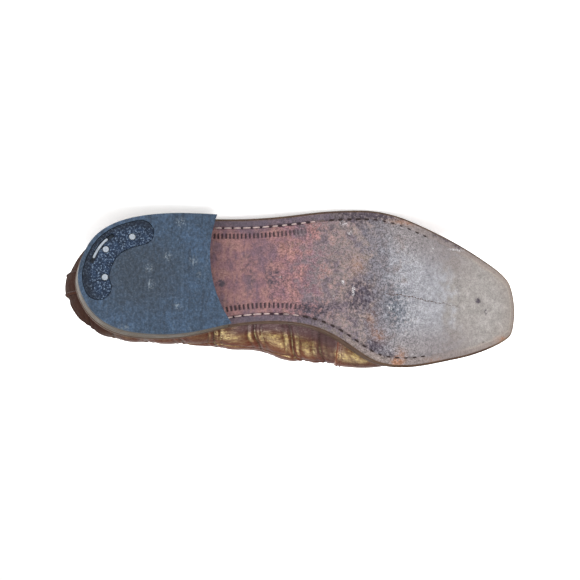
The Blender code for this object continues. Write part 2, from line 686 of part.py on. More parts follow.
def make_laces():
    """Straight bars of lace across the facings, from eyelet to eyelet."""
    heights = np.array([EYELET_V, 0.5 + 0.5 * EYELET_V, 1.0])
    lift = LACE_RADIUS + LACE_GAP
    for number, row in enumerate(EYELET_ROWS, 1):
        ring = np.repeat((row, RING_ROWS - row), len(heights))
        height = np.concatenate((heights, heights[::-1]))
        path = surface(ring, height) + lift * surface_normal(ring, height)
        line = bpy.data.curves.new(f"lace_{number}", "CURVE")
        line.dimensions = "3D"
        line.bevel_depth = LACE_RADIUS * MM
        line.bevel_resolution = 2
        line.use_fill_caps = True
        run = line.splines.new("POLY")
        run.points.add(len(path) - 1)
        for point, place in zip(run.points, path):
            point.co = (*(place * MM), 1.0)
        line.materials.append(bpy.data.materials["lace_cord"])
        SHOE.objects.link(bpy.data.objects.new(line.name, line))


def resting_pose(pieces):
    """Turn and shift that lay the shoe on its outer side, on the face of its hull under its centre."""
    bpy.context.view_layer.update()
    graph = bpy.context.evaluated_depsgraph_get()
    hull = bmesh.new()
    weight, moment = 0.0, Vector()
    for piece in pieces:
        mesh = piece.evaluated_get(graph).to_mesh()
        mesh.calc_loop_triangles()
        for triangle in mesh.loop_triangles:
            a, b, c = (mesh.vertices[k].co for k in triangle.vertices)
            volume = a.dot(b.cross(c)) / 6
            weight += volume
            moment += volume * (a + b + c) / 4
        for vertex in mesh.vertices:
            hull.verts.new(vertex.co)
    centre = moment / weight
    bmesh.ops.convex_hull(hull, input=hull.verts)
    support = None
    for face in hull.faces:
        normal = face.normal if face.normal.dot(face.calc_center_median() - centre) > 0 else -face.normal
        if normal.y > -0.5:
            continue
        foot = centre + normal * normal.dot(face.verts[0].co - centre)
        corners = [vertex.co for vertex in face.verts]
        turns = [(corners[k] - corners[k - 1]).cross(foot - corners[k - 1]).dot(normal)
                 for k in range(len(corners))]
        if min(turns) >= 0 or max(turns) <= 0:
            support = normal.copy()
    up = -support
    toe = Vector((1, 0, 0))
    row_x = -(toe - up * toe.dot(up)).normalized()
    turn = Matrix((row_x, up.cross(row_x), up))
    corners = [turn @ vertex.co for vertex in hull.verts]
    hull.free()
    low = Vector([min(corner[axis] for corner in corners) for axis in range(3)])
    high = Vector([max(corner[axis] for corner in corners) for axis in range(3)])
    shift = Vector((-(low.x + high.x) / 2, -(low.y + high.y) / 2, -low.z))
    return Matrix.Translation(shift) @ turn.to_4x4()


def clear_scene():
    for old in list(bpy.data.objects):
        bpy.data.objects.remove(old, do_unlink=True)


def collection(name):
    made = bpy.data.collections.new(name)
    bpy.context.scene.collection.children.link(made)
    return made


def make_finishes():
    for name, (colour, roughness, metallic) in FINISHES.items():
        finish = bpy.data.materials.new(name)
        finish.use_nodes = True
        shader = finish.node_tree.nodes["Principled BSDF"]
        shader.inputs["Base Color"].default_value = (*colour, 1.0)
        shader.inputs["Roughness"].default_value = roughness
        shader.inputs["Metallic"].default_value = metallic


clear_scene()
SHOE = collection("cap_toe_oxford")
CUTTERS = collection("cutters")
make_finishes()
make_outsole()
make_welt()
make_insole()
make_heel()
make_upper()
make_tongue()
make_laces()
pose = bpy.data.objects.new("lying_pose", None)
pose.matrix_world = resting_pose(list(SHOE.objects))
for piece in [*SHOE.objects, *CUTTERS.objects]:
    piece.parent = pose
SHOE.objects.link(pose)
bpy.context.view_layer.update()
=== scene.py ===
"""Looks of the cap toe oxford: worn leather sole, stacked heel, glazed scaled upper, laces and studio.

Pieces are drawn in the shoe's own frame, in millimetres: X from heel to toe, Y to the inner side of the
foot, Z up from the tread. The two tread mounts of the record say where that frame lies.
"""
import json
import math

import bmesh
import bpy
import numpy as np
from mathutils import Matrix, Vector


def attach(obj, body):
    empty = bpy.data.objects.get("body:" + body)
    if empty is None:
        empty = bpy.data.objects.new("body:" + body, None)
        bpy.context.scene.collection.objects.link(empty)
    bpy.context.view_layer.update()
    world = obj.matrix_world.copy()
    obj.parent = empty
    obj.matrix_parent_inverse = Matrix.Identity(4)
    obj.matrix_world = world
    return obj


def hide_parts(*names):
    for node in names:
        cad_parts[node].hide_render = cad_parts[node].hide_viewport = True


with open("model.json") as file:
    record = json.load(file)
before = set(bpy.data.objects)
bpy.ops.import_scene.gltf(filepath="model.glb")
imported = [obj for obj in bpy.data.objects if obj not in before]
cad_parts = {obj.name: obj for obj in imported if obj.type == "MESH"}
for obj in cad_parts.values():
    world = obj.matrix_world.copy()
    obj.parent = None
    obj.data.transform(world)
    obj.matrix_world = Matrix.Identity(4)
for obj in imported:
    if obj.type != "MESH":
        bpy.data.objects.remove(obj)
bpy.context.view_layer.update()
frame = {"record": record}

MM = 0.001
OUTER, INNER = -1, 1
SIDES = (OUTER, INNER)
FULL_TURN = 2 * math.pi
AHEAD, UP, DOWN = (1.0, 0.0, 0.0), (0.0, 0.0, 1.0), (0.0, 0.0, -1.0)
BODY = "root"

# Places of the two tread mounts in the shoe's frame
HEEL_TREAD = Vector((55.0, -6.0, 0.0))
FOREFOOT_TREAD = Vector((192.0, -4.0, 0.0))

# Sole, welt and insole
FIT_GAP = 0.3
TOE_SPRING = 9.8
SEAT_HEIGHT = 22.0
SEAT_FRONT_X = 58.0
BALL_BACK_X = 170.0
BALL_FRONT_X = 214.0
SOLE_THICK = 5.0
WELT_THICK = 3.0
RAND_THICK = 1.5
WELT_EDGE = 0.4
RAND_END_X = 60.0
WELT_START_X = 112.0
INSOLE_THICK = 4.0
INSOLE_DISH = -0.6

# Upper, tongue and laces
UPPER_WALL = 2.0
LIP_BEAD = 0.8
OVERLAY_THICK = 1.1
CAP_STEP = 0.9
CAP_SCALED = 0.3
STRIP_SCALED = 0.12
OVERLAY_BED = 1.3
OVERLAY_SINK = 0.75
OVERLAY_LEAST = 0.3
OVERLAY_ROLL = 1.1
RAW_EDGE = 0.9
TONGUE_THICK = 1.8
TONGUE_REACH = 18.0
TONGUE_TILT = math.radians(72)
TONGUE_NECK = 0.5
TONGUE_LOW_V = 0.72
TONGUE_GAP = 0.5
TONGUE_SAG = 4.4
TONGUE_TOP_ROW = 5.02
TONGUE_LOW_ROW = 7.6
LACE_RADIUS = 1.15
LACE_GAP = 0.35
EYELET_ROWS = (5.2, 5.58, 5.96, 6.34, 6.72)
EYELET_V = 0.9
EYELET_RADIUS = 1.5

# Seams of the upper
CAP_SEAM_X = 239.0
VAMP_SEAM_FOOT_Z = 9.0
VAMP_SEAM_CURVE = (162.2, 0.19, 0.0025)
VAMP_ROWS = (1.9, 3.9)
CAP_ROWS = (1.9, 3.7)
STRIP_ROW = 1.6
SEAM_LEAN = 0.28
STRIP_HALF_WIDTH = 7.5

# Heel: side of the top piece by inset and height, lifts by share of height
TOP_PIECE_THICK = 6.0
TOP_PIECE_SIDE = (
    (1.0, 0.0), (0.55, 0.1), (0.25, 0.32), (0.08, 0.75), (0.0, 1.4), (0.0, 5.3), (0.15, 5.8),
    (0.5, TOP_PIECE_THICK),
)
HEEL_FLARE = 1.7
LIFT_LINES = (0.0, 0.36, 0.7, 1.0)
LIFT_INSETS = (HEEL_FLARE, 1.2, 0.5)
LIFT_GROOVE = 0.28
BREAST_CENTRE = np.array((148.1, -19.9))
BREAST_RADIUS = 73.0
PLATE_THICK = 2.0
PLATE_INSET = 11.8
PLATE_HALF_WIDTH = 7.4
PLATE_ENDS = ((OUTER, 30.0), (INNER, -0.4))
SLOT_INSET = 8.0
SLOT_HALF_WIDTH = 1.2
SLOT_ENDS = ((OUTER, 12.0), (OUTER, -1.6))
STAPLE_HALF_WIDTH = 0.75
STAPLE_ENDS = ((OUTER, 8.0), (OUTER, -0.6))
STAPLE_LOW = 0.15
NAIL_RADIUS = 1.9
NAIL_SIDES = 28
NAIL_PLACES = ((28.2, -24.5), (13.4, -15.8), (13.8, 0.8))
CUT_MARGIN = 2.0

# Edge of the sole, both sides at the same distance from the back of the heel: x, outer y, inner y
SOLE_EDGE = (
    (-3.2, 0.0, 0.0), (0.5, -16.2, 13.6), (9.0, -28.3, 24.6), (24.0, -37.0, 32.4),
    (45.0, -42.2, 34.4), (66.0, -44.2, 32.4), (86.0, -44.9, 27.2), (104.0, -45.7, 23.5),
    (125.0, -47.9, 22.5), (146.0, -51.2, 25.8), (165.0, -53.5, 34.9), (184.0, -54.8, 45.4),
    (203.0, -52.4, 48.2), (220.0, -47.3, 46.6), (240.0, -40.3, 42.6), (258.0, -33.1, 38.4),
    (276.0, -24.9, 32.2), (289.0, -17.8, 26.2), (295.0, -9.6, 19.6), (297.4, 4.8, 4.8),
)
EDGE_STEPS = 40

# Mesh of the sole: spacing along the edge up to an X, ends of the middle line, side by inset and rise
SOLE_SPACING = ((70.0, 3.0), (156.0, 0.5), (400.0, 1.2))
WELT_SPACING = ((70.0, 1.6), (400.0, 0.65))
SPINE_ENDS = (40.0, 266.0)
TREAD_EDGE = 1.6
TREAD_RISE = 0.2
SOLE_SIDE = (
    (1.05, 0.14), (0.6, 0.45), (0.25, 0.95), (0.05, 1.7), (0.0, 2.4), (0.0, 4.1), (0.14, 4.65),
    (0.5, SOLE_THICK), (9.0, SOLE_THICK),
)

# Sections of the upper, from the back of the heel to the toe
SECTION_COLUMNS = ("feather_x", "shelf", "top_x", "top_y", "top_z", "aim", "lean", "low", "crown", "high")
HEEL_BACK = (-3.2, 1.6, -2.6, -0.6, 89.0, 180, 30, 24, 75, 22)
TOE_TIP = (297.4, 5.0, 256.0, 4.0, 46.0, 0, 2, 14, 0, 23)
OUTER_SECTIONS = (
    (8.0, 1.8, 6.5, -16.5, 87.0, 135, 24, 23, 76, 22),      # heel quarter
    (30.0, 2.6, 31.0, -28.5, 81.5, 105, 13, 22, 78, 22),    # heel side
    (62.0, 3.0, 62.0, -32.5, 77.0, 92, 7, 21, 78, 20),      # collar dip
    (97.0, 2.4, 92.0, -25.0, 87.0, 90, 9, 24, 60, 22),      # collar front
    (122.0, 2.2, 112.0, -5.6, 107.0, 90, 9, 26, 27, 25),    # facing top
    (152.0, 2.6, 148.0, -2.0, 92.5, 90, 7, 24, 13, 27),     # facing middle
    (184.0, 3.8, 184.0, 2.0, 76.0, 90, 5, 20, 5, 28),       # throat
    (214.0, 4.6, 206.0, 2.4, 66.0, 84, 3, 18, 0, 28),       # ball
    (248.0, 5.0, 228.0, 2.9, 56.6, 70, 2, 16, 0, 25),       # vamp front
    (279.0, 5.0, 246.0, 3.5, 49.6, 42, 1, 14, 0, 23),       # toe corner
)
INNER_SECTIONS = (
    (8.0, 1.6, 6.5, 14.0, 87.5, 135, 28, 24, 76, 22),       # heel quarter
    (30.0, 1.3, 31.0, 21.0, 83.0, 105, 22, 24, 76, 24),     # heel side
    (64.0, 1.2, 63.0, 23.5, 79.5, 92, 25, 26, 74, 24),      # collar dip
    (98.0, 1.1, 92.0, 19.0, 89.0, 90, 50, 33, 50, 28),      # collar front
    (122.0, 1.1, 112.0, 2.6, 107.5, 90, 56, 44, 27, 28),    # facing top
    (152.0, 1.6, 148.0, 3.0, 93.0, 90, 55, 54, 13, 28),     # facing middle
    (184.0, 3.0, 184.0, 2.0, 76.0, 90, 41, 28, 5, 28),      # throat
    (212.0, 4.2, 206.0, 2.4, 66.0, 84, 9, 19, 0, 28),       # ball
    (245.0, 4.8, 228.0, 2.9, 56.6, 70, 3, 16, 0, 25),       # vamp front
    (278.0, 5.0, 246.0, 3.5, 49.6, 42, 1, 14, 0, 23),       # toe corner
)
FACING_TOP, THROAT, TIP = 5, 7, 11
RING_ROWS = 2 * TIP
RING_SAMPLES = np.linspace(0, RING_ROWS, 1761)
HALF_HEIGHT = 0.4
RING_STEP = 0.004
QUARTER_HEIGHTS = np.concatenate((np.linspace(0, 0.97, 92), (0.98, 0.99, 1.0)))
LINING_HEIGHTS = np.linspace(1.0, 0.0, 30)
OVERLAY_HEIGHTS = np.concatenate((np.linspace(0, 0.96, 76), np.linspace(0.97, 1.0, 4)))
STRIP_HEIGHTS = np.linspace(0, 1, 70)

# Scales of the leather: lines across the shoe by X at half height, and lines along it by share of height
QUARTER_FOLDS = {
    OUTER: (8.0, 26.0, 46.0, 66.0, 87.0, 110.0, 133.0, 155.0),
    INNER: (8.0, 24.0, 44.0, 65.0, 88.0, 115.5, 139.5, 156.5),
}
FRONT_FOLDS = (200.0, 221.0, 258.0, 277.0)
SCALE_ROWS = (0.25, 0.43, 0.61, 0.8)
ROW_SHIFTS = np.random.RandomState(11).uniform(-1.4, 1.4, (len(SCALE_ROWS) + 1, 40))
SCALE_BULGE = 0.85
BULGE_REACH = 9.0
SCALE_DOME = 0.35
SCALE_BASE = 0.3
FOLD_RIDGE = 2.0
FOLD_DEPTH = 0.6
ROW_DEPTH = 0.4
FOLD_LEAN_X = (0.0, 60.0, 100.0, 150.0, 210.0)
FOLD_LEAN = (0.0, 0.3, 0.5, 0.45, 0.0)
FOLD_MID_RISE = 14.0

# Creases of the vamp behind the toe cap: x on the ridge, x at the welt, depth, half width
VAMP_CREASES = (
    (197.0, 190.0, 0.9, 2.4), (206.5, 203.0, 1.1, 2.6), (216.5, 216.0, 0.8, 2.2), (226.0, 230.0, 0.5, 2.0),
)

# Marks of the sole
STITCH_INSET = 6.2
STITCH_PITCH = 6.1
STITCH_HALF = 2.45
STITCH_RADIUS = 0.5
NEEDLE_HOLE = 0.75
SEAM_STARTS = {OUTER: 80.0, INNER: 90.0}
PALE_THREAD_ENDS = {OUTER: 146.0, INNER: 128.0}
DARK_THREAD_END = 222.0
THREAD_WEAR = (110.0, 120.0)
TREAD_FLATTENS = (150.0, 210.0)
TOE_WEAR = (276.0, 294.0)
WHEEL_INSET = 11.6
WHEEL_HALF_LENGTH = 1.7
WHEEL_HALF_WIDTH = 0.45
WHEEL_PITCH = 2.42
WHEEL_FADE_FROM = 34.0
WHEEL_RUNS = {OUTER: (80.5, 152.0), INNER: (88.0, 152.0)}
WELT_PITCH = 2.6
WELT_SEAM_STARTS = {OUTER: 140.0, INNER: 150.0}
CRACK_POINTS = ((188.0, 0.8), (199.4, 0.6), (212.7, 1.8), (222.0, 3.5), (235.9, 4.7), (246.8, 6.4))

# Stains of the sole, and painted shadow along its outer edge among the dark ones: x, y, reach along, reach
# across, strength
STAINS_AND_SHADOWS = {
    "warm": (
        (200.0, 45.3, 4.0, 3.2, 1.3), (187.0, 29.0, 6.0, 6.0, 0.6), (172.0, -17.5, 7.0, 9.0, 0.5),
        (181.5, 17.0, 5.0, 8.0, 0.5), (130.0, -28.0, 14.0, 8.0, 0.35), (206.0, -49.0, 18.0, 3.0, 0.6),
        (229.0, 43.5, 12.0, 3.0, 0.5), (203.0, 40.0, 5.0, 5.0, 0.6), (283.0, 27.0, 7.0, 3.0, 0.8),
    ),
    "cool": (
        (197.0, 7.0, 9.0, 14.0, 0.5), (203.0, 13.0, 10.0, 16.0, 0.4), (190.0, -22.0, 7.0, 18.0, 0.35),
    ),
    "dark": (
        (121.0, -8.0, 10.0, 8.0, 0.55), (102.0, -15.0, 8.0, 10.0, 0.4), (174.0, 1.0, 9.0, 9.0, 0.7),
        (177.0, 9.0, 18.0, 20.0, 0.42), (146.0, 12.0, 16.0, 5.0, 0.7), (116.0, -38.0, 26.0, 4.0, 0.35),
        (140.0, 15.0, 7.0, 7.0, 0.5), (104.0, -2.0, 2.6, 9.0, 0.5), (117.0, -1.0, 3.0, 8.0, 0.45),
        (184.0, 35.0, 9.0, 4.5, 0.9), (165.0, -47.0, 22.0, 5.0, 0.6), (246.5, -4.0, 3.0, 20.0, 0.3),
        (86.0, -2.5, 2.6, 2.6, 1.4), (97.4, 10.3, 1.2, 1.2, 1.0), (262.2, 1.1, 2.0, 1.9, 1.4),
        # Painted shadow on the outer edge: the blot at x 184, and with a darker rim the four along the outer
        # toe edge from x 231 to 258.
        (269.3, 8.2, 1.9, 1.8, 1.0), (184.0, -52.0, 22.0, 3.0, 1.2), (196.0, 40.0, 6.0, 4.0, 0.5),
        (231.0, -42.6, 7.0, 2.2, 0.7), (240.0, -39.2, 7.0, 2.2, 0.9), (249.0, -35.6, 7.0, 2.2, 0.7),
        (258.0, -31.4, 6.0, 2.2, 0.3),
    ),
    "pale": (
        (162.4, -44.6, 4.0, 3.0, 0.55), (166.4, -38.2, 2.6, 2.4, 0.65), (162.0, -5.6, 1.6, 2.2, 0.9),
        (169.4, 0.0, 1.4, 4.0, 0.8), (156.0, 4.0, 1.2, 3.0, 0.45), (195.2, 10.2, 1.4, 1.4, 1.2),
        (226.5, -32.3, 1.6, 3.0, 0.6), (244.7, -33.0, 9.0, 1.2, 0.7), (122.7, -7.3, 2.4, 0.9, 0.6),
    ),
}
STAIN_AND_SHADOW_COLOURS = {"warm": (190, 138, 108), "cool": (104, 112, 124), "dark": (82, 72, 86)}

# Zones of the tread along X: where a step rises, and where it falls again
WORN_ZONE = (136.0, 186.0)
JOIN_ZONE = ((132.0, 158.0), (206.0, 180.0))
BALL_BAND = ((172.0, 184.0), (204.0, 188.0))
SIDE_RUB = ((184.0, 204.0), (272.0, 240.0))
GRAINY_ZONE = ((104.0, 132.0, 0.45, 1.0), (196.0, 236.0, 1.0, 0.4))
WARM_TOE = (228.0, 250.0)
TOE_GROOVE = (236.0, 262.0)
TOE_DUST = (262.0, 288.0)
TOE_RUB = (276.0, 292.0)
GROOVE_INSET = 5.6

# Zones of the upper: heel darkened with painted shade and dulled, waist with a painted cool reflection near
# the sole, and the dull band behind the vamp seam
SHADED_DULL_HEEL = (46.0, 4.0)
WAIST_ZONE = ((88.0, 104.0), (172.0, 160.0))
DULL_BAND = ((140.0, 150.0), (160.0, 157.0))
GOLD_GLOSS = (1.0, 0.78, 0.24, 1.0)
COOL_GLOSS = (0.8, 0.66, 0.8, 1.0)

# Pale scuffs of the rubber top piece: x, y, radius
RUBBER_SCUFFS = (
    (38.7, -6.4, 4.0), (40.0, 3.5, 4.0), (56.8, 15.8, 3.4), (49.6, -14.1, 4.0),
    (56.6, -35.9, 4.5), (65.5, -12.4, 4.0), (68.7, -4.2, 2.6), (26.3, 30.5, 4.0),
)
RUBBED_PLACE = (35.0, -2.0, 0.0)
PLATE_MIDDLE = (33.0, -3.0, 0.0)

# Share of a screen colour that the paint has, the rest being light
PAINT_SHARE = 0.465

# Camera of the photograph in the shoe's frame
CAMERA_PLACE = Vector((6.53, 61.32, -414.62))
CAMERA_DOWN = Vector((0.0844, 0.9725, 0.2171))
CAMERA_AIM = Vector((126.6, 1.8, 0.0))
SENSOR = 36.0
LENS = 42.97

# Studio: floor, surroundings from horizon to overhead, soft lights by direction, spread and power
FLOOR_HEIGHT = -0.0003
FLOOR_HALF = 6.0
FLOOR_WHITE = 0.96
FLOOR_PALE = 0.94
FLOOR_GLOW = 0.55
SKY_FADE = (0.2, 0.55, 1.05, 0.35)
SOFT_LIGHTS = (("front", (0.25, -1.0, 0.75), 80.0, 2.5), ("top", (0.16, 0.26, 0.95), 26.0, 2.6))

# Names of the sockets of a smooth step, and of the edges of a grid
STEP_SOCKETS = ("From Min", "From Max", "To Min", "To Max")
ALL_EDGES = ("first_column", "last_column", "first_row", "last_row")


def shoe_pose(mounts):
    """Place of the shoe's own frame, worked out from its two tread mounts."""
    found = {mount["name"]: mount for mount in mounts}
    heel = Vector(found["heel_tread"]["pos_m"])
    ball = Vector(found["forefoot_tread"]["pos_m"])
    up = -Vector(found["heel_tread"]["axis"]).normalized()
    ahead = ball - heel
    ahead = (ahead - up * ahead.dot(up)).normalized()
    run = FOREFOOT_TREAD - HEEL_TREAD
    turn = math.atan2(run.y, run.x)
    toe = ahead * math.cos(turn) - up.cross(ahead) * math.sin(turn)
    axes = Matrix((toe, up.cross(toe), up)).transposed()
    return Matrix.Translation(heel - axes @ HEEL_TREAD * MM) @ axes.to_4x4()


POSE = shoe_pose(frame["record"]["mounts"])


# Curves

def ramp(value, start, end):
    """Smooth step of a value, 0 at one bound and 1 at the other."""
    share = np.clip((value - start) / (end - start), 0.0, 1.0)
    return share * share * (3.0 - 2.0 * share)


def bell(distance, width):
    """Smooth bump, 1 at distance 0."""
    return np.exp(-(distance / width) ** 2)


def unit(vectors):
    """Vectors of length 1."""
    return vectors / np.linalg.norm(vectors, axis=-1, keepdims=True)


def left_of(runs):
    """Directions in plan a quarter turn to the left."""
    return np.column_stack((-runs[:, 1], runs[:, 0]))


def path_length(path):
    """Length along a path at each of its points."""
    return np.concatenate(([0.0], np.cumsum(np.linalg.norm(np.diff(path, axis=0), axis=1))))


def read(at, known, points):
    """Points between those that are known at some places."""
    return np.column_stack([np.interp(at, known, column) for column in np.transpose(points)])


def spline(points, at, closed=False):
    """Smooth cubic curve through points numbered 0, 1, 2 and so on, read at the given numbers."""
    points = np.asarray(points, float)
    count = len(points)
    own = np.arange(count)
    before, after = (own - 1) % count, (own + 1) % count
    if not closed:
        before[0], after[-1] = own[0], own[-1]
    system = np.diag(np.where((before == own) | (after == own), 1.0, 4.0))
    for other in (before, after):
        system[own, other] += 1.0
    slopes = np.linalg.solve(system, 3.0 * (points[after] - points[before]))
    base = np.floor(at).astype(int)
    if not closed:
        base = np.clip(base, 0, count - 2)
    start, end = base % count, (base + 1) % count
    t = (at - base)[:, None]
    near = (1 + 2 * t) * (1 - t) ** 2 * points[start] + t * (1 - t) ** 2 * slopes[start]
    far = t * t * (3 - 2 * t) * points[end] + t * t * (t - 1) * slopes[end]
    return near + far


# Shape of the shoe

def sole_edge_loop():
    """Dense edge of the sole: points, inward normals, share and length.

    The share is 0 at the heel, 1 at the toe and 2 back at the heel."""
    outer = [(x, outer_y) for x, outer_y, _ in SOLE_EDGE]
    inner = [(x, inner_y) for x, _, inner_y in SOLE_EDGE[-2:0:-1]]
    loop = outer + inner
    dense = spline(loop, np.arange(len(loop) * EDGE_STEPS + 1) / EDGE_STEPS, closed=True)
    run = np.gradient(dense, axis=0)
    run[[0, -1]] = run[0] + run[-1]
    length = path_length(dense)
    toe = (len(SOLE_EDGE) - 1) * EDGE_STEPS
    outer_share = length / length[toe]
    inner_share = 1 + (length - length[toe]) / (length[-1] - length[toe])
    share = np.where(np.arange(len(dense)) <= toe, outer_share, inner_share)
    return dense, left_of(unit(run)), share, length


EDGE_POINTS, EDGE_INWARD, EDGE_SHARE, EDGE_LENGTH = sole_edge_loop()
SIDE_ORDER = {OUTER: np.flatnonzero(EDGE_SHARE <= 1), INNER: np.flatnonzero(EDGE_SHARE >= 1)[::-1]}


def edge_share(side, x):
    """Share of the sole edge where one side reaches X: positive on the outer side, negative on the inner."""
    order = SIDE_ORDER[side]
    share = np.interp(x, EDGE_POINTS[order, 0], EDGE_SHARE[order])
    return share if side == OUTER else share - 2


def edge_point(share, inset):
    """Points a distance inside the sole edge."""
    share = np.atleast_1d(share) % 2
    inward = read(share, EDGE_SHARE, EDGE_INWARD)
    return read(share, EDGE_SHARE, EDGE_POINTS) + np.reshape(inset, (-1, 1)) * inward


def edge_run(starts, count):
    """Shares of the sole edge from one side's start round the toe to the other's."""
    return np.linspace(edge_share(OUTER, starts[OUTER]), edge_share(INNER, starts[INNER]) + 2, count)


def edge_stations(zones):
    """Shares round the sole edge, spaced as the zones say: each up to an X, with its spacing."""
    limits, sizes = np.transpose(zones)
    sides = []
    for order in SIDE_ORDER.values():
        points = EDGE_POINTS[order]
        middle = (points[1:, 0] + points[:-1, 0]) / 2
        steps = np.diff(path_length(points)) / sizes[np.searchsorted(limits, middle)]
        count = np.concatenate(([0.0], np.cumsum(steps)))
        sides.append(np.interp(np.linspace(0, count[-1], round(count[-1]) + 1), count, EDGE_SHARE[order]))
    return np.concatenate((sides[0][:-1], sides[1][:0:-1]))


def middle_y(x):
    """Middle line of the sole."""
    known_x, outer_y, inner_y = np.transpose(SOLE_EDGE)
    return np.interp(x, known_x, (outer_y + inner_y) / 2)


def sole_bottom(x):
    """Underside of the outsole: heel seat, arch, flat forefoot and toe spring."""
    toe_x = SOLE_EDGE[-1][0]
    lift = np.clip((x - BALL_FRONT_X) / (toe_x - BALL_FRONT_X), 0.0, None)
    return SEAT_HEIGHT * ramp(x, BALL_BACK_X, SEAT_FRONT_X) + TOE_SPRING * lift ** 2


def welt_thick(x):
    """Welt round the forefoot, thinner as a rand round the heel seat."""
    return RAND_THICK + (WELT_THICK - RAND_THICK) * ramp(x, RAND_END_X, WELT_START_X)


def feather_height(x):
    """Height of the lower edge of the upper, on top of the welt."""
    return sole_bottom(x) + SOLE_THICK + welt_thick(x) + 2 * FIT_GAP


def ring_sections():
    """Section rows round the whole shoe: heel back, outer side, toe tip and inner side back again."""
    rows = [(OUTER, row) for row in (HEEL_BACK, *OUTER_SECTIONS, TOE_TIP)]
    rows += [(INNER, row) for row in reversed(INNER_SECTIONS)]
    return [(side, dict(zip(SECTION_COLUMNS, row))) for side, row in rows]


SECTIONS = ring_sections()
SECTION_SHARES = [edge_share(side, row["feather_x"]) % 2 for side, row in SECTIONS] + [2.0]


def section_columns(*names):
    """Columns of the section rows, round the whole shoe."""
    return np.array([[float(row[name]) for name in names] for _, row in SECTIONS])


TOP_POINTS = section_columns("top_x", "top_y", "top_z")


def high_handles():
    """Handle of each section at its top edge."""
    handles = []
    for number, (side, row) in enumerate(SECTIONS):
        slope = 0.0
        ridge_row = min(number, RING_ROWS - number)
        if ridge_row >= THROAT:
            ahead = TOP_POINTS[min(ridge_row + 1, TIP)] - TOP_POINTS[ridge_row - 1]
            slope = ahead[2] / ahead[0]
        aim, crown = math.radians(row["aim"]), math.radians(row["crown"])
        plan = np.array([math.cos(aim), side * math.sin(aim), slope * math.cos(aim)])
        handle = math.cos(crown) * plan - np.array([0.0, 0.0, math.sin(crown)])
        handles.append(TOP_POINTS[number] + row["high"] * handle)
    return np.array(handles)


HIGH_POINTS = high_handles()


def shelf_width(share):
    """How far the upper stands inside the sole edge."""
    widths = [row["shelf"] for _, row in SECTIONS]
    return np.interp(np.asarray(share) % 2, SECTION_SHARES, widths + widths[:1])


def top_edge(ring):
    """Collar, facing and vamp ridge: smooth runs that meet in corners at facing top and throat."""
    number = np.minimum(ring, RING_ROWS - ring)
    found = np.zeros((len(ring), 3))
    collar = number <= FACING_TOP
    signed = np.where(ring > TIP, ring - RING_ROWS, ring)
    collar_rows = np.arange(-FACING_TOP, FACING_TOP + 1)
    found[collar] = spline(TOP_POINTS[collar_rows], signed[collar] + FACING_TOP)
    ridge = number >= THROAT
    found[ridge] = spline(TOP_POINTS[THROAT:RING_ROWS - THROAT + 1], ring[ridge] - THROAT)
    for first in (FACING_TOP, RING_ROWS - THROAT):
        last = first + THROAT - FACING_TOP
        facing = (ring > first) & (ring < last)
        found[facing] = spline(TOP_POINTS[first:last + 1], ring[facing] - first)
    return found


def surface(ring, height):
    """Outer face of the upper: ring runs round the sections, height from feather 0 to top edge 1."""
    ring, height = np.broadcast_arrays(np.asarray(ring, float), np.asarray(height, float))
    shape = ring.shape
    ring, t = ring.ravel() % RING_ROWS, height.ravel()[:, None]
    share = spline(np.reshape(SECTION_SHARES, (-1, 1)), ring)[:, 0]
    foot = edge_point(share, shelf_width(share))
    outward = foot - edge_point(share, shelf_width(share) + 1.0)
    feather = np.column_stack((foot, feather_height(foot[:, 0])))
    lean = np.radians(spline(section_columns("lean"), ring, closed=True))
    length = spline(section_columns("low"), ring, closed=True)
    low = feather + length * np.hstack((np.sin(lean) * outward, np.cos(lean)))
    high = spline(HIGH_POINTS, ring, closed=True)
    curve = (1 - t) ** 3 * feather + 3 * t * (1 - t) ** 2 * low
    curve = curve + 3 * t * t * (1 - t) * high + t ** 3 * top_edge(ring)
    return curve.reshape(*shape, 3)


def surface_normal(ring, height):
    """Outward normal of the upper's outer face."""
    ring, height = np.asarray(ring, float), np.clip(height, RING_STEP, 1 - RING_STEP)
    around = surface(ring + RING_STEP, height) - surface(ring - RING_STEP, height)
    upward = surface(ring, height + RING_STEP) - surface(ring, height - RING_STEP)
    return unit(np.cross(around, upward))


def lifted(ring, height, lift):
    """Points a distance off the upper's outer face."""
    return surface(ring, height) + np.asarray(lift)[..., None] * surface_normal(ring, height)


def past_vamp_seam(points):
    """Distance ahead of the seam between vamp and quarters, which leans forward up to the throat."""
    rise = np.maximum(points[..., 2] - VAMP_SEAM_FOOT_Z, 0.0)
    return points[..., 0] - sum(factor * rise ** power for power, factor in enumerate(VAMP_SEAM_CURVE))


def past_cap_seam(points):
    """Distance ahead of the seam of the toe cap."""
    return points[..., 0] - CAP_SEAM_X


def past_strip_edge(points):
    """Distance outside the back strip."""
    return np.abs(points[..., 1]) - STRIP_HALF_WIDTH


# Meshes

def grid_faces(columns, rows, closed=False):
    """Quads of a grid of points numbered column by column."""
    index = np.arange(columns * rows).reshape(columns, rows)
    after = np.roll(index, -1, axis=0)
    if not closed:
        index, after = index[:-1], after[:-1]
    return np.stack((index[:, :-1], after[:, :-1], after[:, 1:], index[:, 1:]), axis=-1).reshape(-1, 4)


def tube_faces(levels, sides):
    """Quads round a tube of points numbered level by level."""
    index = np.arange(levels * sides).reshape(levels, sides)
    after = np.roll(index, -1, axis=1)
    return np.stack((index[:-1], after[:-1], after[1:], index[1:]), axis=-1).reshape(-1, 4)


def joined(parts):
    """Several meshes as one: points and faces."""
    starts = np.cumsum([0] + [len(points) for points, _ in parts])
    faces = [part_faces + start for (_, part_faces), start in zip(parts, starts)]
    return np.concatenate([points for points, _ in parts]), np.concatenate(faces)


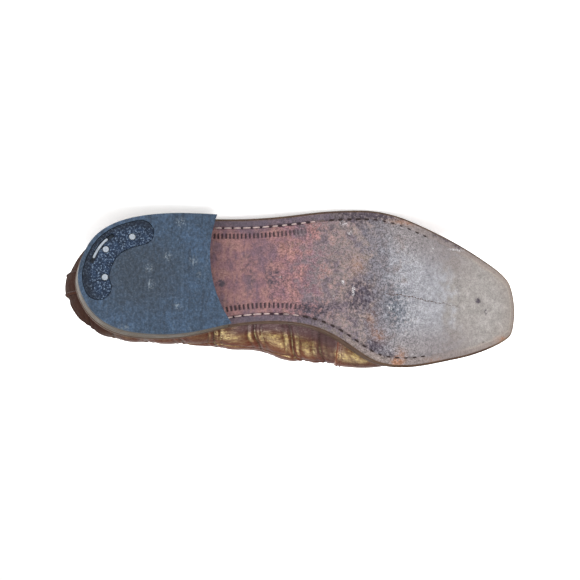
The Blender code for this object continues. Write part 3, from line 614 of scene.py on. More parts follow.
def padded(field, rows):
    """Values of a grid in one list, with zeros for the rows that have none."""
    return np.pad(field, ((0, 0), (0, rows - field.shape[1]))).ravel()


def placed(points):
    """Points of the shoe's frame, in metres where the shoe lies."""
    turn = np.array(POSE.to_3x3())
    return (np.asarray(points, float) * MM @ turn.T + np.array(POSE.translation)).tolist()


def linked(name, data):
    """A new object of the scene."""
    made = bpy.data.objects.new(name, data)
    bpy.context.scene.collection.objects.link(made)
    return made


def cleaned(mesh, merge=None):
    """Turn the faces of a mesh outward, after its close points are merged."""
    body = bmesh.new()
    body.from_mesh(mesh)
    if merge:
        bmesh.ops.remove_doubles(body, verts=body.verts, dist=merge * MM)
        bmesh.ops.dissolve_degenerate(body, edges=body.edges, dist=1e-7)
    bmesh.ops.recalc_face_normals(body, faces=body.faces)
    body.to_mesh(mesh)
    body.free()


def piece(name, points, faces, paints, slot, nodes=(), values=None, kinds=None, sharp=45, merge=0.004):
    """A smooth mesh in the shoe's frame that rides on the shoe and stands for its solids."""
    mesh = bpy.data.meshes.new(name)
    mesh.from_pydata(placed(points), [], [list(face) for face in faces])
    for key, value in (values or {}).items():
        value = np.asarray(value, float)
        kind, field = ("FLOAT", "value") if value.ndim == 1 else ("FLOAT_VECTOR", "vector")
        mesh.attributes.new(key, kind, "POINT").data.foreach_set(field, value.ravel())
    for paint in paints:
        mesh.materials.append(PAINTS[paint])
    if kinds is not None:
        mesh.polygons.foreach_set("material_index", np.asarray(kinds, int))
    cleaned(mesh, merge)
    mesh.shade_smooth()
    mesh.set_sharp_from_angle(angle=math.radians(sharp))
    made = linked(name, mesh)
    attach(made, BODY)
    if nodes:
        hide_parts(*nodes)
    return made


def edge_distances(grid):
    """Distance of each point of a grid from its four edges, the columns along axis 0."""
    found = {}
    for axis, edge in enumerate(("column", "row")):
        steps = np.linalg.norm(np.diff(grid, axis=axis), axis=-1)
        first = np.insert(np.cumsum(steps, axis=axis), 0, 0.0, axis=axis)
        found["first_" + edge] = first
        found["last_" + edge] = np.take(first, [-1], axis=axis) - first
    return found


def rolled_shell(grid, normals, low, high, roll, rolled, centre, relief=0.0, walls=()):
    """Closed sheet between two offsets of a grid, its named edges rolled in to the centre offset.

    Edges are named first_column, last_column, first_row and last_row, the columns along axis 0."""
    distances = edge_distances(grid)
    near = np.min([distances[name] for name in rolled], axis=0)
    swell = np.sqrt(1 - (1 - np.clip(near / roll, 0, 1)) ** 2)
    outside = centre + (high - centre + relief) * swell
    inside = centre + (low - centre) * swell
    points = np.concatenate([grid + offset[..., None] * normals for offset in (outside, inside)])
    columns, rows = grid.shape[:2]
    count = columns * rows
    front = grid_faces(columns, rows)
    faces = [front, front[:, ::-1] + count]
    index = np.arange(count).reshape(columns, rows)
    borders = {"first_column": index[0], "last_column": index[-1, ::-1],
               "first_row": index[::-1, 0], "last_row": index[:, -1]}
    for name in walls:
        line = borders[name]
        faces.append(np.stack((line[:-1], line[1:], line[1:] + count, line[:-1] + count), axis=-1))
    return points.reshape(-1, 3), np.concatenate(faces)


def threads(centres, runs, normals, half, radius, sides=6):
    """Short lengths of thread as one mesh: points and faces."""
    stops = np.array((-1.0, -0.72, 0.0, 0.72, 1.0))
    girths = np.array((0.3, 0.85, 1.0, 0.85, 0.3))
    sinks = np.array((-0.9, -0.25, 0.0, -0.25, -0.9))
    turn = np.arange(sides)[:, None] * FULL_TURN / sides
    across = np.cross(normals, runs)
    half, radius = (np.broadcast_to(size, len(centres))[:, None] for size in (half, radius))
    line = centres[:, None] + (half * stops)[..., None] * runs[:, None]
    line = line + (radius * sinks)[..., None] * normals[:, None]
    spokes = np.cos(turn) * across[:, None] + np.sin(turn) * normals[:, None]
    points = line[:, :, None] + (radius * girths)[..., None, None] * spokes[:, None]
    starts = np.arange(len(centres)) * len(stops) * sides
    faces = tube_faces(len(stops), sides) + starts[:, None, None]
    return points.reshape(-1, 3), faces.reshape(-1, 4)


def stitch_places(path, pitch):
    """Places and directions of stitches along a path of points."""
    reach = 0.3
    length = path_length(path)
    count = max(int(length[-1] / pitch), 1)
    at = (np.arange(count) + 0.5) * length[-1] / count
    runs = read(at + reach, length, path) - read(at - reach, length, path)
    return read(at, length, path), unit(runs)


def braid(path, radius, sides, twist, rib):
    """Round cord along a path, with ribs that wind round it both ways: points and faces."""
    run = unit(np.gradient(path, axis=0))
    side = unit(np.cross(run, AHEAD))
    up = np.cross(side, run)
    turn = np.arange(sides) * FULL_TURN / sides
    wind = twist * path_length(path)[:, None]
    wave = np.cos(3 * turn + wind) * np.cos(3 * turn - wind)
    size = radius * (1 - rib * (0.5 - 0.5 * wave))
    spokes = np.cos(turn)[:, None] * side[:, None] + np.sin(turn)[:, None] * up[:, None]
    points = path[:, None] + size[..., None] * spokes
    index = np.arange(size.size).reshape(size.shape)
    caps = [index[0, ::-1].tolist(), index[-1].tolist()]
    return points.reshape(-1, 3), tube_faces(*size.shape).tolist() + caps


def prisms(ring_pairs):
    """Closed prisms between pairs of rings, as one mesh for cutting: points and faces."""
    points, faces = [], []
    for low, high in ring_pairs:
        first = np.arange(len(points), len(points) + len(low))
        second = first + len(low)
        sides = np.stack((first, second, np.roll(second, -1), np.roll(first, -1)), axis=1)
        points += [*low, *high]
        faces += [first.tolist(), second[::-1].tolist(), *sides.tolist()]
    return points, faces


def cut(made, ring_pairs):
    """Cut prisms out of a piece."""
    points, faces = prisms(ring_pairs)
    mesh = bpy.data.meshes.new("cutter")
    mesh.from_pydata(placed(points), [], faces)
    cleaned(mesh)
    cutter = linked("cutter", mesh)
    change = made.modifiers.new("cut", "BOOLEAN")
    change.solver = "EXACT"
    change.object = cutter
    bpy.context.view_layer.update()
    graph = bpy.context.evaluated_depsgraph_get()
    done = bpy.data.meshes.new_from_object(made.evaluated_get(graph))
    made.modifiers.clear()
    made.data = done
    bpy.data.objects.remove(cutter, do_unlink=True)


# Materials

def tint(red, green, blue):
    """Linear colour from the 0 to 255 values of a screen."""
    shares = [value / 255 for value in (red, green, blue)]
    linear = [s / 12.92 if s <= 0.04045 else ((s + 0.055) / 1.055) ** 2.4 for s in shares]
    return (*(PAINT_SHARE * s for s in linear), 1.0)


class Paint:
    """A procedural material and short ways to wire it."""

    def __init__(self, name, **constants):
        self.material = bpy.data.materials.new(name)
        self.material.use_nodes = True
        self.nodes = self.material.node_tree.nodes
        self.links = self.material.node_tree.links
        self.shader = self.nodes["Principled BSDF"]
        for socket, value in constants.items():
            self.shader.inputs[socket.replace("_", " ")].default_value = value
        lying = self.nodes.new("ShaderNodeTexCoord").outputs["Object"]
        moved = self.vector("SUBTRACT", lying, POSE.translation)
        place = self.nodes.new("ShaderNodeCombineXYZ")
        for socket, axis in zip(place.inputs, POSE.to_3x3().transposed()):
            self.feed(socket, self.vector("DOT_PRODUCT", moved, axis / MM))
        self.place = place.outputs[0]

    def feed(self, socket, value):
        """Link an output to a socket, or set a constant on it."""
        if isinstance(value, bpy.types.NodeSocket):
            self.links.new(value, socket)
        else:
            socket.default_value = value

    def node(self, kind, operation, first, second):
        """Node for a sum of numbers or vectors."""
        node = self.nodes.new(kind)
        node.operation = operation
        self.feed(node.inputs[0], first)
        self.feed(node.inputs[1], second)
        return node

    def vector(self, operation, first, second):
        node = self.node("ShaderNodeVectorMath", operation, first, second)
        return node.outputs["Value" if operation in ("DISTANCE", "DOT_PRODUCT") else "Vector"]

    def maths(self, operation, first, second=0.0):
        return self.node("ShaderNodeMath", operation, first, second).outputs[0]

    def times(self, first, *others):
        """Product of values."""
        for other in others:
            first = self.maths("MULTIPLY", first, other)
        return first

    def axis(self, name, vector=None):
        node = self.nodes.new("ShaderNodeSeparateXYZ")
        self.feed(node.inputs[0], vector or self.place)
        return node.outputs[name]

    def attribute(self, name, output="Fac"):
        node = self.nodes.new("ShaderNodeAttribute")
        node.attribute_name = name
        return node.outputs[output]

    def noise(self, scale, detail=4.0, stretch=(1.0, 1.0, 1.0), vector=None, rough=0.55):
        """Noise with its scale in features per millimetre."""
        node = self.nodes.new("ShaderNodeTexNoise")
        self.feed(node.inputs["Vector"], self.vector("MULTIPLY", vector or self.place, stretch))
        node.inputs["Scale"].default_value = scale
        node.inputs["Detail"].default_value = detail
        node.inputs["Roughness"].default_value = rough
        return node.outputs["Fac"]

    def step(self, value, low, high, to_low=0.0, to_high=1.0):
        """Smooth step of a value from one bound to the other."""
        node = self.nodes.new("ShaderNodeMapRange")
        node.interpolation_type = "SMOOTHSTEP"
        self.feed(node.inputs["Value"], value)
        for socket, bound in zip(STEP_SOCKETS, (low, high, to_low, to_high)):
            self.feed(node.inputs[socket], bound)
        return node.outputs["Result"]

    def between(self, value, zone):
        """Product of the two smooth steps of a zone."""
        rise, fall = zone
        return self.times(self.step(value, *rise), self.step(value, *fall))

    def near(self, place, far, close):
        """Smooth step of the distance from a place."""
        return self.step(self.vector("DISTANCE", self.place, place), far, close)

    def ragged(self, value, field, reach, low=0.25, high=0.75):
        """A value pushed to and fro by a noise."""
        return self.maths("ADD", value, self.step(field, low, high, -reach, reach))

    def mix(self, share, first, second, blend="MIX"):
        node = self.nodes.new("ShaderNodeMix")
        node.data_type = "RGBA"
        node.blend_type = blend
        self.feed(node.inputs["Factor"], share)
        colours = [socket for socket in node.inputs if socket.type == "RGBA"]
        for socket, value in zip(colours, (first, second)):
            self.feed(socket, value)
        return next(socket for socket in node.outputs if socket.type == "RGBA")

    def blend(self, field, low, high, first, second):
        """Two screen colours, mixed by a smooth step of a noise."""
        return self.mix(self.step(field, low, high), tint(*first), tint(*second))

    def coat(self, colour, shade, *shares):
        """A screen colour laid on another, as thick as the product of the shares."""
        return self.mix(self.times(*shares), colour, tint(*shade))

    def coats(self, colour, rows, *shares):
        """Screen colours laid on another where noises say: shade, noise, bounds and thickness."""
        for shade, field, low, high, share in rows:
            colour = self.coat(colour, shade, self.step(field, low, high, 0.0, share), *shares)
        return colour

    def bump(self, height, depth, strength=1.0, under=None):
        """Bump with its depth in millimetres."""
        node = self.nodes.new("ShaderNodeBump")
        node.inputs["Strength"].default_value = strength
        node.inputs["Distance"].default_value = depth * MM
        self.feed(node.inputs["Height"], height)
        if under is not None:
            self.feed(node.inputs["Normal"], under)
        return node.outputs["Normal"]

    def finish(self, colour, roughness=None, normal=None):
        sockets = {"Base Color": colour, "Roughness": roughness, "Normal": normal}
        for name, value in sockets.items():
            if value is not None:
                self.feed(self.shader.inputs[name], value)
        return self.material


def tread_leather():
    """Underside of the sole: smooth reddish waist, grey and napped forefoot, stains, dirt and painted shadow
    along the outer edge.
    """
    paint = Paint("tread_leather", Specular_IOR_Level=0.25)
    x = paint.axis("X")
    cloud = paint.noise(0.06, 5.0)
    blotch = paint.noise(0.15, 6.0)
    streak = paint.noise(0.3, 5.0, (1.0, 0.3, 1.0))
    fleck = paint.noise(0.42, 5.0, rough=0.7)
    speck = paint.noise(1.0, 4.0, rough=0.85)
    worn = paint.step(paint.ragged(paint.ragged(x, blotch, 12.0), fleck, 22.0, 0.3, 0.7), *WORN_ZONE)
    waist = paint.coats(paint.blend(blotch, 0.38, 0.62, (168, 122, 120), (146, 106, 114)), (
        ((124, 98, 112), cloud, 0.48, 0.6, 0.75),
        ((112, 88, 106), streak, 0.53, 0.68, 0.6),
        ((184, 138, 128), streak, 0.46, 0.32, 0.5),
        ((112, 84, 94), fleck, 0.55, 0.68, 0.5),
    ))
    ball = paint.blend(blotch, 0.36, 0.64, (186, 186, 191), (165, 164, 171))
    toe = paint.blend(blotch, 0.36, 0.64, (191, 185, 181), (172, 166, 162))
    forefoot = paint.mix(paint.step(paint.ragged(x, blotch, 10.0), *WARM_TOE), ball, toe)
    colour = join_mottle(paint, x, paint.mix(worn, waist, forefoot), blotch, speck)
    colour = paint.coat(colour, (124, 122, 132), paint.between(paint.ragged(x, blotch, 9.0), BALL_BAND), 0.6)
    colour = tread_rim(paint, x, worn, colour, blotch, fleck)
    colour = tread_marks(paint, worn, colour, fleck, speck)
    grainy = paint.between(x, GRAINY_ZONE)
    colour = paint.mix(paint.times(grainy, 0.75), colour, paint.step(fleck, 0.3, 0.7, 1.5, 0.55), "MULTIPLY")
    colour = paint.mix(grainy, colour, paint.step(speck, 0.34, 0.66, 0.42, 1.66), "MULTIPLY")
    nap = paint.bump(fleck, 0.3, 0.5, paint.bump(speck, 0.16, 0.5))
    nap = paint.bump(streak, 0.3, 0.35, nap)
    return paint.finish(colour, paint.step(worn, 0.0, 1.0, 0.5, 0.88), nap)


def join_mottle(paint, x, colour, blotch, speck):
    """Brown and purple mottling where the smooth waist gives way to the worn forefoot."""
    here = paint.between(paint.ragged(x, blotch, 16.0), JOIN_ZONE)
    return paint.coats(paint.coat(colour, (146, 128, 125), here, 0.7), (
        ((116, 102, 114), blotch, 0.5, 0.62, 0.7),
        ((176, 158, 148), blotch, 0.47, 0.36, 0.5),
        ((100, 88, 98), speck, 0.52, 0.68, 0.65),
        ((184, 158, 138), speck, 0.46, 0.32, 0.55),
    ), here)


def tread_rim(paint, x, worn, colour, blotch, fleck):
    """Darker rim of the waist, rubbed and dusty rim of the forefoot, bare groove at the toe."""
    inset = paint.attribute("inset")
    rim = paint.step(paint.ragged(inset, blotch, 1.4, 0.2, 0.8), 6.8, 5.0)
    rim_colour = paint.mix(worn, tint(94, 84, 98), tint(168, 152, 144))
    colour = paint.mix(paint.times(rim, 0.82), colour, rim_colour)
    edge = paint.step(paint.ragged(inset, fleck, 1.0, 0.2, 0.8), 2.6, 1.0)
    colour = paint.coat(colour, (112, 92, 86), edge, 0.6)
    for shade, along, inside, share in (
            ((178, 160, 146), paint.step(x, *TOE_RUB), (4.0, 1.0), 0.6),
            ((150, 139, 138), paint.between(x, SIDE_RUB), (34.0, 10.0), 0.7),
            ((172, 159, 150), paint.step(x, *TOE_DUST), (20.0, 4.0), 0.5)):
        colour = paint.coat(colour, shade, along, paint.step(inset, *inside), share)
    groove = paint.step(paint.maths("ABSOLUTE", paint.maths("SUBTRACT", inset, GROOVE_INSET)), 1.7, 0.3)
    broken = paint.step(fleck, 0.38, 0.6, 0.2, 1.3)
    return paint.coat(colour, (206, 198, 188), groove, paint.step(x, *TOE_GROOVE), 0.5, broken)


def tread_marks(paint, worn, colour, fleck, speck):
    """Stains and painted shadow, pale flakes, stitched channel, wheel marks and dirt."""
    broken = paint.step(fleck, 0.3, 0.7, 0.2, 1.5)
    # The dark blots include painted shadow on the outer edge of the sole.
    for name, shade in STAIN_AND_SHADOW_COLOURS.items():
        share = paint.times(paint.attribute(name), broken)
        colour = paint.coat(colour, shade, paint.step(share, 0.05, 1.0, 0.0, 0.9))
    flakes = paint.times(paint.attribute("pale"), paint.step(speck, 0.44, 0.58, 0.1, 1.3))
    colour = paint.coat(colour, (232, 230, 232), paint.step(flakes, 0.25, 0.8, 0.0, 0.85))
    colour = paint.coat(colour, (76, 60, 64), paint.attribute("seam"), 0.5)
    colour = paint.coat(colour, (54, 36, 46), paint.attribute("mark"))
    return paint.coat(colour, (112, 106, 114), paint.step(speck, 0.58, 0.7, 0.0, 0.6), worn)


def edge_ink():
    """Dark inked edge of sole and welt, rubbed pale at the toe."""
    paint = Paint("edge_ink", Specular_IOR_Level=0.12)
    layer = paint.noise(0.5, 4.0, (0.15, 0.15, 3.0))
    blotch = paint.noise(0.12, 5.0)
    fleck = paint.noise(1.3, 3.0)
    colour = paint.blend(layer, 0.35, 0.65, (84, 62, 50), (104, 80, 62))
    rub = paint.step(paint.axis("X"), 262.0, 294.0, 0.0, 0.75)
    colour = paint.coats(colour, [((164, 142, 120), blotch, 0.3, 0.6, 1.0)], rub)
    colour = paint.coats(colour, [((132, 108, 92), fleck, 0.62, 0.75, 0.5)])
    normal = paint.bump(fleck, 0.12, 0.5, paint.bump(layer, 0.2, 0.5))
    return paint.finish(colour, paint.step(blotch, 0.3, 0.7, 0.38, 0.6), normal)


def heel_lifts():
    """Side of the stacked heel: taupe leather in fine layers."""
    paint = Paint("heel_lifts", Specular_IOR_Level=0.08)
    layer = paint.noise(0.6, 4.0, (0.08, 0.08, 4.0))
    blotch = paint.noise(0.1, 5.0)
    fleck = paint.noise(1.4, 3.0)
    colour = paint.blend(layer, 0.3, 0.7, (104, 91, 74), (82, 72, 61))
    colour = paint.coats(colour, [((114, 99, 76), blotch, 0.45, 0.7, 0.5)])
    colour = paint.coat(colour, (48, 36, 30), paint.attribute("seam"))
    normal = paint.bump(fleck, 0.08, 0.5, paint.bump(layer, 0.15, 0.5))
    return paint.finish(colour, paint.step(blotch, 0.3, 0.7, 0.34, 0.5), normal)


def heel_rubber():
    """Worn rubber top piece: blue grey, rubbed brown round the plate, pale scuffs and cross wear lines."""
    paint = Paint("heel_rubber", Specular_IOR_Level=0.25)
    cloud = paint.noise(0.05, 5.0)
    blotch = paint.noise(0.2, 5.0, rough=0.65)
    fleck = paint.noise(0.55, 5.0, rough=0.7)
    grit = paint.noise(0.9, 3.0, rough=0.7)
    speck = paint.noise(0.6, 4.0, (1.0, 0.7, 1.0), rough=0.7)
    lines = paint.noise(0.5, 4.0, (1.0, 0.08, 1.0))
    stroke = paint.noise(0.9, 4.0, (1.0, 0.7, 1.0), rough=0.75)
    colour = paint.coats(paint.blend(cloud, 0.4, 0.62, (72, 97, 126), (64, 86, 110)), (
        ((56, 74, 96), blotch, 0.4, 0.6, 0.6),
        ((48, 62, 80), lines, 0.52, 0.66, 0.5),
        ((92, 112, 134), lines, 0.46, 0.34, 0.35),
    ))
    colour = paint.coat(colour, (58, 69, 82), paint.near(RUBBED_PLACE, 34.0, 10.0), 0.75)
    colour = paint.coats(colour, (
        ((86, 92, 100), grit, 0.5, 0.64, 0.35),
        ((122, 136, 150), fleck, 0.56, 0.72, 0.5),
    ))
    scuffed = 0.0
    for x, y, radius in RUBBER_SCUFFS:
        scuffed = paint.maths("ADD", paint.near((x, y, 0.0), radius, 0.2 * radius), scuffed)
    colour = paint.coat(colour, (160, 172, 182), scuffed, paint.step(stroke, 0.46, 0.62), 0.6)
    colour = paint.mix(0.8, colour, paint.step(speck, 0.28, 0.72, 0.5, 1.55), "MULTIPLY")
    colour = paint.mix(0.7, colour, paint.step(grit, 0.25, 0.75, 0.55, 1.45), "MULTIPLY")
    colour = paint.coat(colour, (54, 60, 68), paint.step(paint.axis("Z"), 0.9, 2.2), 0.75)
    normal = paint.bump(lines, 0.35, 0.4, paint.bump(grit, 0.1, 0.5))
    normal = paint.bump(fleck, 0.25, 0.4, normal)
    return paint.finish(colour, paint.step(fleck, 0.3, 0.7, 0.6, 0.85), normal)


def plate_finish():
    """Dark blue plate with bright glints, as of crushed filler, darkest along the back."""
    paint = Paint("plate_finish", Specular_IOR_Level=0.2)
    glint = paint.noise(0.85, 3.0, rough=0.8)
    cloud = paint.noise(0.2, 4.0)
    colour = paint.coats(paint.blend(cloud, 0.35, 0.65, (22, 42, 68), (36, 60, 92)), (
        ((146, 170, 196), glint, 0.54, 0.63, 0.85),
        ((12, 24, 40), glint, 0.48, 0.37, 0.85),
    ))
    colour = paint.coat(colour, (16, 26, 40), paint.near(PLATE_MIDDLE, 25.0, 30.5), 0.75)
    return paint.finish(colour, paint.step(glint, 0.4, 0.65, 0.75, 0.5), paint.bump(glint, 0.3, 0.6))


def worn_steel():
    """Nail heads and staple, scuffed bright by the ground."""
    paint = Paint("worn_steel", Metallic=0.3)
    scratch = paint.noise(2.0, 3.0, (1.0, 0.2, 1.0))
    colour = paint.blend(scratch, 0.35, 0.7, (196, 206, 218), (158, 168, 180))
    return paint.finish(colour, paint.step(scratch, 0.3, 0.7, 0.42, 0.62), paint.bump(scratch, 0.06, 0.5))


def scaled_leather(name, dark=0.0, calm=0.0):
    """Glazed reddish brown leather: streaks along the shoe, dark grooves, golden gloss, painted reflection
    near the sole, dull heel in painted shade.
    """
    paint = Paint(name)
    skin = paint.attribute("skin", "Vector")
    streak = paint.noise(0.5, 5.0, (0.2, 1.0, 1.0), skin)
    cloud = paint.noise(0.045, 4.0)
    pore = paint.noise(1.3, 3.0, (0.5, 1.0, 1.0), skin)
    patch = paint.noise(0.3, 5.0, (0.5, 1.0, 1.0), skin, rough=0.75)
    spark = paint.noise(0.9, 3.0, (0.7, 1.0, 1.0), skin, rough=0.8)
    x, up = paint.axis("X"), paint.axis("Y", skin)
    colour = paint.coats(paint.blend(streak, 0.32, 0.66, (92, 48, 40), (112, 60, 48)), (
        ((80, 46, 46), cloud, 0.42, 0.62, 0.5),
        ((128, 74, 58), streak, 0.62, 0.74, 0.35),
        ((124, 54, 36), up, 10.0, 20.0, 0.5),
    ))
    # Near the sole in the waist the leather is painted purple-grey as a cool reflection, and its gloss is
    # tinted cool.
    cool_reflection_near_sole = paint.times(paint.step(up, 9.0, 3.0, 0.0, 0.75), paint.between(x, WAIST_ZONE))
    colour = paint.coat(colour, (92, 66, 70), cool_reflection_near_sole)
    upright = paint.maths("SUBTRACT", x, paint.times(paint.axis("Z"), SEAM_LEAN))
    dull = paint.times(paint.between(upright, DULL_BAND), paint.step(up, 58.0, 40.0))
    colour = paint.coat(colour, (104, 84, 82), dull, 0.45)
    colour = paint.coat(colour, (182, 106, 76), paint.attribute("raw"), 0.75)
    # The heel is painted darker as shade, and its gloss is dulled.
    back = paint.step(x, *SHADED_DULL_HEEL)
    colour = paint.coat(colour, (64, 47, 42), back, 0.85)
    colour = paint.coat(colour, (48, 30, 26), paint.step(paint.attribute("groove"), 0.15, 0.9, 0.0, 0.8))
    colour = paint.coat(colour, (60, 40, 34), dark)
    patchy = paint.step(patch, 0.38, 0.6, 1.25 - 0.45 * calm, 0.3 + 0.35 * calm)
    sparkling = paint.step(spark, 0.36, 0.64, 0.55 + 0.4 * calm, 1.9 - 0.8 * calm)
    dimmed = paint.step(dull, 0.0, 1.0, 1.0, 0.3)
    glaze = paint.times(paint.step(back, 0.0, 1.0, 0.5, 0.04), patchy, sparkling, dimmed)
    paint.feed(paint.shader.inputs["Specular Tint"], paint.mix(cool_reflection_near_sole, GOLD_GLOSS, COOL_GLOSS))
    paint.feed(paint.shader.inputs["Specular IOR Level"], glaze)
    rough = paint.maths("MAXIMUM", paint.step(streak, 0.3, 0.7, 0.27, 0.38), paint.times(back, 0.75))
    return paint.finish(colour, rough, paint.bump(streak, 0.4, 0.5, paint.bump(pore, 0.2, 0.6)))


def lining_leather():
    """Smooth tan leather of lining, tongue back and sock."""
    paint = Paint("lining_leather", Specular_IOR_Level=0.3)
    cloud = paint.noise(0.06, 5.0)
    pore = paint.noise(1.8, 4.0)
    colour = paint.blend(cloud, 0.35, 0.65, (182, 142, 104), (160, 120, 86))
    colour = paint.coats(colour, [((120, 86, 60), pore, 0.55, 0.75, 0.3)])
    return paint.finish(colour, paint.step(cloud, 0.3, 0.7, 0.55, 0.72), paint.bump(pore, 0.08, 0.5))


def waxed_cord():
    """Dark brown waxed lace."""
    paint = Paint("waxed_cord", Specular_IOR_Level=0.4)
    twill = paint.noise(2.0, 3.0)
    colour = paint.blend(twill, 0.3, 0.7, (62, 42, 32), (88, 62, 46))
    return paint.finish(colour, paint.step(twill, 0.3, 0.7, 0.5, 0.7), paint.bump(twill, 0.1, 0.5))


def sole_thread():
    """Thread of the sole seam, pale in the waist and blackened under the foot."""
    paint = Paint("sole_thread", Roughness=0.8, Specular_IOR_Level=0.2)
    fibre = paint.noise(2.2, 3.0)
    pale = paint.blend(fibre, 0.35, 0.65, (240, 218, 214), (214, 184, 178))
    dark = paint.blend(fibre, 0.35, 0.65, (44, 32, 34), (70, 54, 52))
    return paint.finish(paint.mix(paint.attribute("tone"), pale, dark), None, paint.bump(fibre, 0.1, 0.5))


def upper_thread():
    """Brown thread of the seams of the upper, painted darker at the heel as shade."""
    paint = Paint("upper_thread", Roughness=0.6, Specular_IOR_Level=0.3)
    fibre = paint.noise(2.4, 3.0)
    colour = paint.blend(fibre, 0.35, 0.65, (150, 86, 64), (108, 62, 48))
    # Thread at the heel is painted darker as shade, like the leather there.
    colour = paint.coat(colour, (58, 42, 38), paint.step(paint.axis("X"), *SHADED_DULL_HEEL, 0.0, 0.85))
    return paint.finish(colour, None, paint.bump(fibre, 0.08, 0.5))


PAINTS = {
    "tread": tread_leather(),
    "edge": edge_ink(),
    "lifts": heel_lifts(),
    "rubber": heel_rubber(),
    "plate": plate_finish(),
    "steel": worn_steel(),
    "scales": scaled_leather("scaled_leather"),
    "cap": scaled_leather("cap_leather", 0.25, 1.0),
    "lining": lining_leather(),
    "cord": waxed_cord(),
    "sole_thread": sole_thread(),
    "upper_thread": upper_thread(),
}


# Sole

def by_side(table, inner):
    """Value of each point's own side."""
    return np.where(inner, table[INNER], table[OUTER])


def blot_strength(points, table):
    """Strength at each point of the blots of one table, such as stains, painted shadow and needle holes."""
    total = np.zeros(len(points))
    for x, y, along, across, strength in table:
        spread = ((points[:, 0] - x) / along) ** 2 + ((points[:, 1] - y) / across) ** 2
        total += strength * np.exp(-spread)
    return total


def wheel_marks(shares, inset):
    """How far each point lies in one of the short marks beside the seam in the waist."""
    found = np.zeros_like(inset)
    along = np.interp(shares, EDGE_SHARE, EDGE_LENGTH)
    x = edge_point(shares, 0.0)[:, 0]
    length = ramp(np.abs(inset - WHEEL_INSET), WHEEL_HALF_LENGTH + 0.3, WHEEL_HALF_LENGTH - 0.2)
    for side, (start, end) in WHEEL_RUNS.items():
        first = np.interp(edge_share(side, start) % 2, EDGE_SHARE, EDGE_LENGTH)
        beat = np.abs((along - first + WHEEL_PITCH / 2) % WHEEL_PITCH - WHEEL_PITCH / 2)
        here = ((shares <= 1) == (side == OUTER)) & (x > start - 1) & (x < end + 1)
        fade = 1 - 0.75 * ramp(x, start + WHEEL_FADE_FROM, end)
        across = ramp(beat, WHEEL_HALF_WIDTH + 0.3, WHEEL_HALF_WIDTH - 0.1)
        found += (here * fade * across)[:, None] * length
    return found


def sole_stitches():
    """Places and directions of the stitches round the outsole."""
    plan = edge_point(edge_run(SEAM_STARTS, 1200), STITCH_INSET)
    return stitch_places(np.column_stack((plan, sole_bottom(plan[:, 0]))), STITCH_PITCH)


def needle_holes(points):
    """Strength of the dark holes between the stitches, longest where the thread is worn."""
    places, _ = sole_stitches()
    middles = 0.5 * (places[1:] + places[:-1])
    ends = by_side(PALE_THREAD_ENDS, middles[:, 1] >= 0)
    middles = middles[middles[:, 0] < ends - 4]
    reach = NEEDLE_HOLE * (1 + ramp(middles[:, 0], *THREAD_WEAR))
    return blot_strength(points, [(x, y, along, NEEDLE_HOLE, 1.5) for (x, y, _), along in zip(middles, reach)])


def tread_swell(x, y):
    """Shallow waves of the tread."""
    return 0.18 * np.sin(x / 9.0 + 2 * np.sin(y / 11.0)) * np.sin(y / 8.0 + 1.3)


def tread_wear(x, inset):
    """How much is worn off the edge of the tread, most at the toe."""
    toe = 1.6 * ramp(x, *TOE_WEAR) * ramp(inset, 9, 0)
    return toe + 0.5 * ramp(x, 150, 190) * ramp(inset, 4, 0)


def tread_plan(shares):
    """Points of the tread in plan, their distance from the edge, and the middle line they start from."""
    x = edge_point(shares, 0.0)[:, 0]
    band = 8.0 + 6.0 * ramp(x, 60, 72) * ramp(x, 172, 158)
    inner = edge_point(shares, band)
    spine_x = np.clip(inner[:, 0], *SPINE_ENDS)
    spine = np.column_stack((spine_x, middle_y(spine_x)))
    width = np.linalg.norm(inner - spine, axis=1)
    rows = []
    for share in np.linspace(0, 1, 20, endpoint=False):
        rows.append((spine + share * (inner - spine), band + (1 - share) * width))
    for share in np.linspace(1, 0, 30):
        inset = TREAD_EDGE + share * (band - TREAD_EDGE)
        rows.append((edge_point(shares, inset), inset))
    plan, inset = (np.stack(column, axis=1) for column in zip(*rows))
    return plan, inset, spine


def make_outsole():
    """Leather outsole: stitched channel, wheel marks, stains, painted shadow at the outer edge and worn toe.
    """
    shares = edge_stations(SOLE_SPACING)
    plan, inset, spine = tread_plan(shares)
    x, y = plan[..., 0], plan[..., 1]
    starts = by_side(SEAM_STARTS, shares > 1)[:, None]
    flat = ramp(x, *TREAD_FLATTENS)
    seam = bell(inset - STITCH_INSET, 0.75) * ramp(x, starts - 3, starts) * (1 - 0.75 * flat)
    mark = wheel_marks(shares, inset) + needle_holes(plan.reshape(-1, 2)).reshape(inset.shape)
    wear = tread_wear(x, inset)
    z = sole_bottom(x) + TREAD_RISE + 0.5 * seam + 0.55 * mark + tread_swell(x, y) * ramp(inset, 2, 10) + wear
    side_rows = []
    for rim, rise in SOLE_SIDE:
        points = edge_point(shares, rim)
        share = rise / SOLE_THICK
        lift = TREAD_RISE + wear[:, -1] * (1 - share) + share * (SOLE_THICK - TREAD_RISE)
        side_rows.append(np.column_stack((points, sole_bottom(points[:, 0]) + lift)))
    side_rows.append(np.column_stack((spine, sole_bottom(spine[:, 0]) + SOLE_THICK)))
    grid = np.concatenate((np.dstack((plan, z)), np.stack(side_rows, axis=1)), axis=1)
    columns, rows = grid.shape[:2]
    points = grid.reshape(-1, 3)
    kinds = np.tile(np.arange(rows - 1) >= inset.shape[1] - 1, columns)
    fields = {"inset": inset, "seam": seam, "mark": np.clip(mark, 0, 1)}
    values = {name: padded(field, rows) for name, field in fields.items()}
    for name, table in STAINS_AND_SHADOWS.items():
        values[name] = blot_strength(points, table)
    faces = grid_faces(columns, rows, closed=True)
    piece("outsole_leather", points, faces, ("tread", "edge"), "sole_leather", ("outsole",), values, kinds)


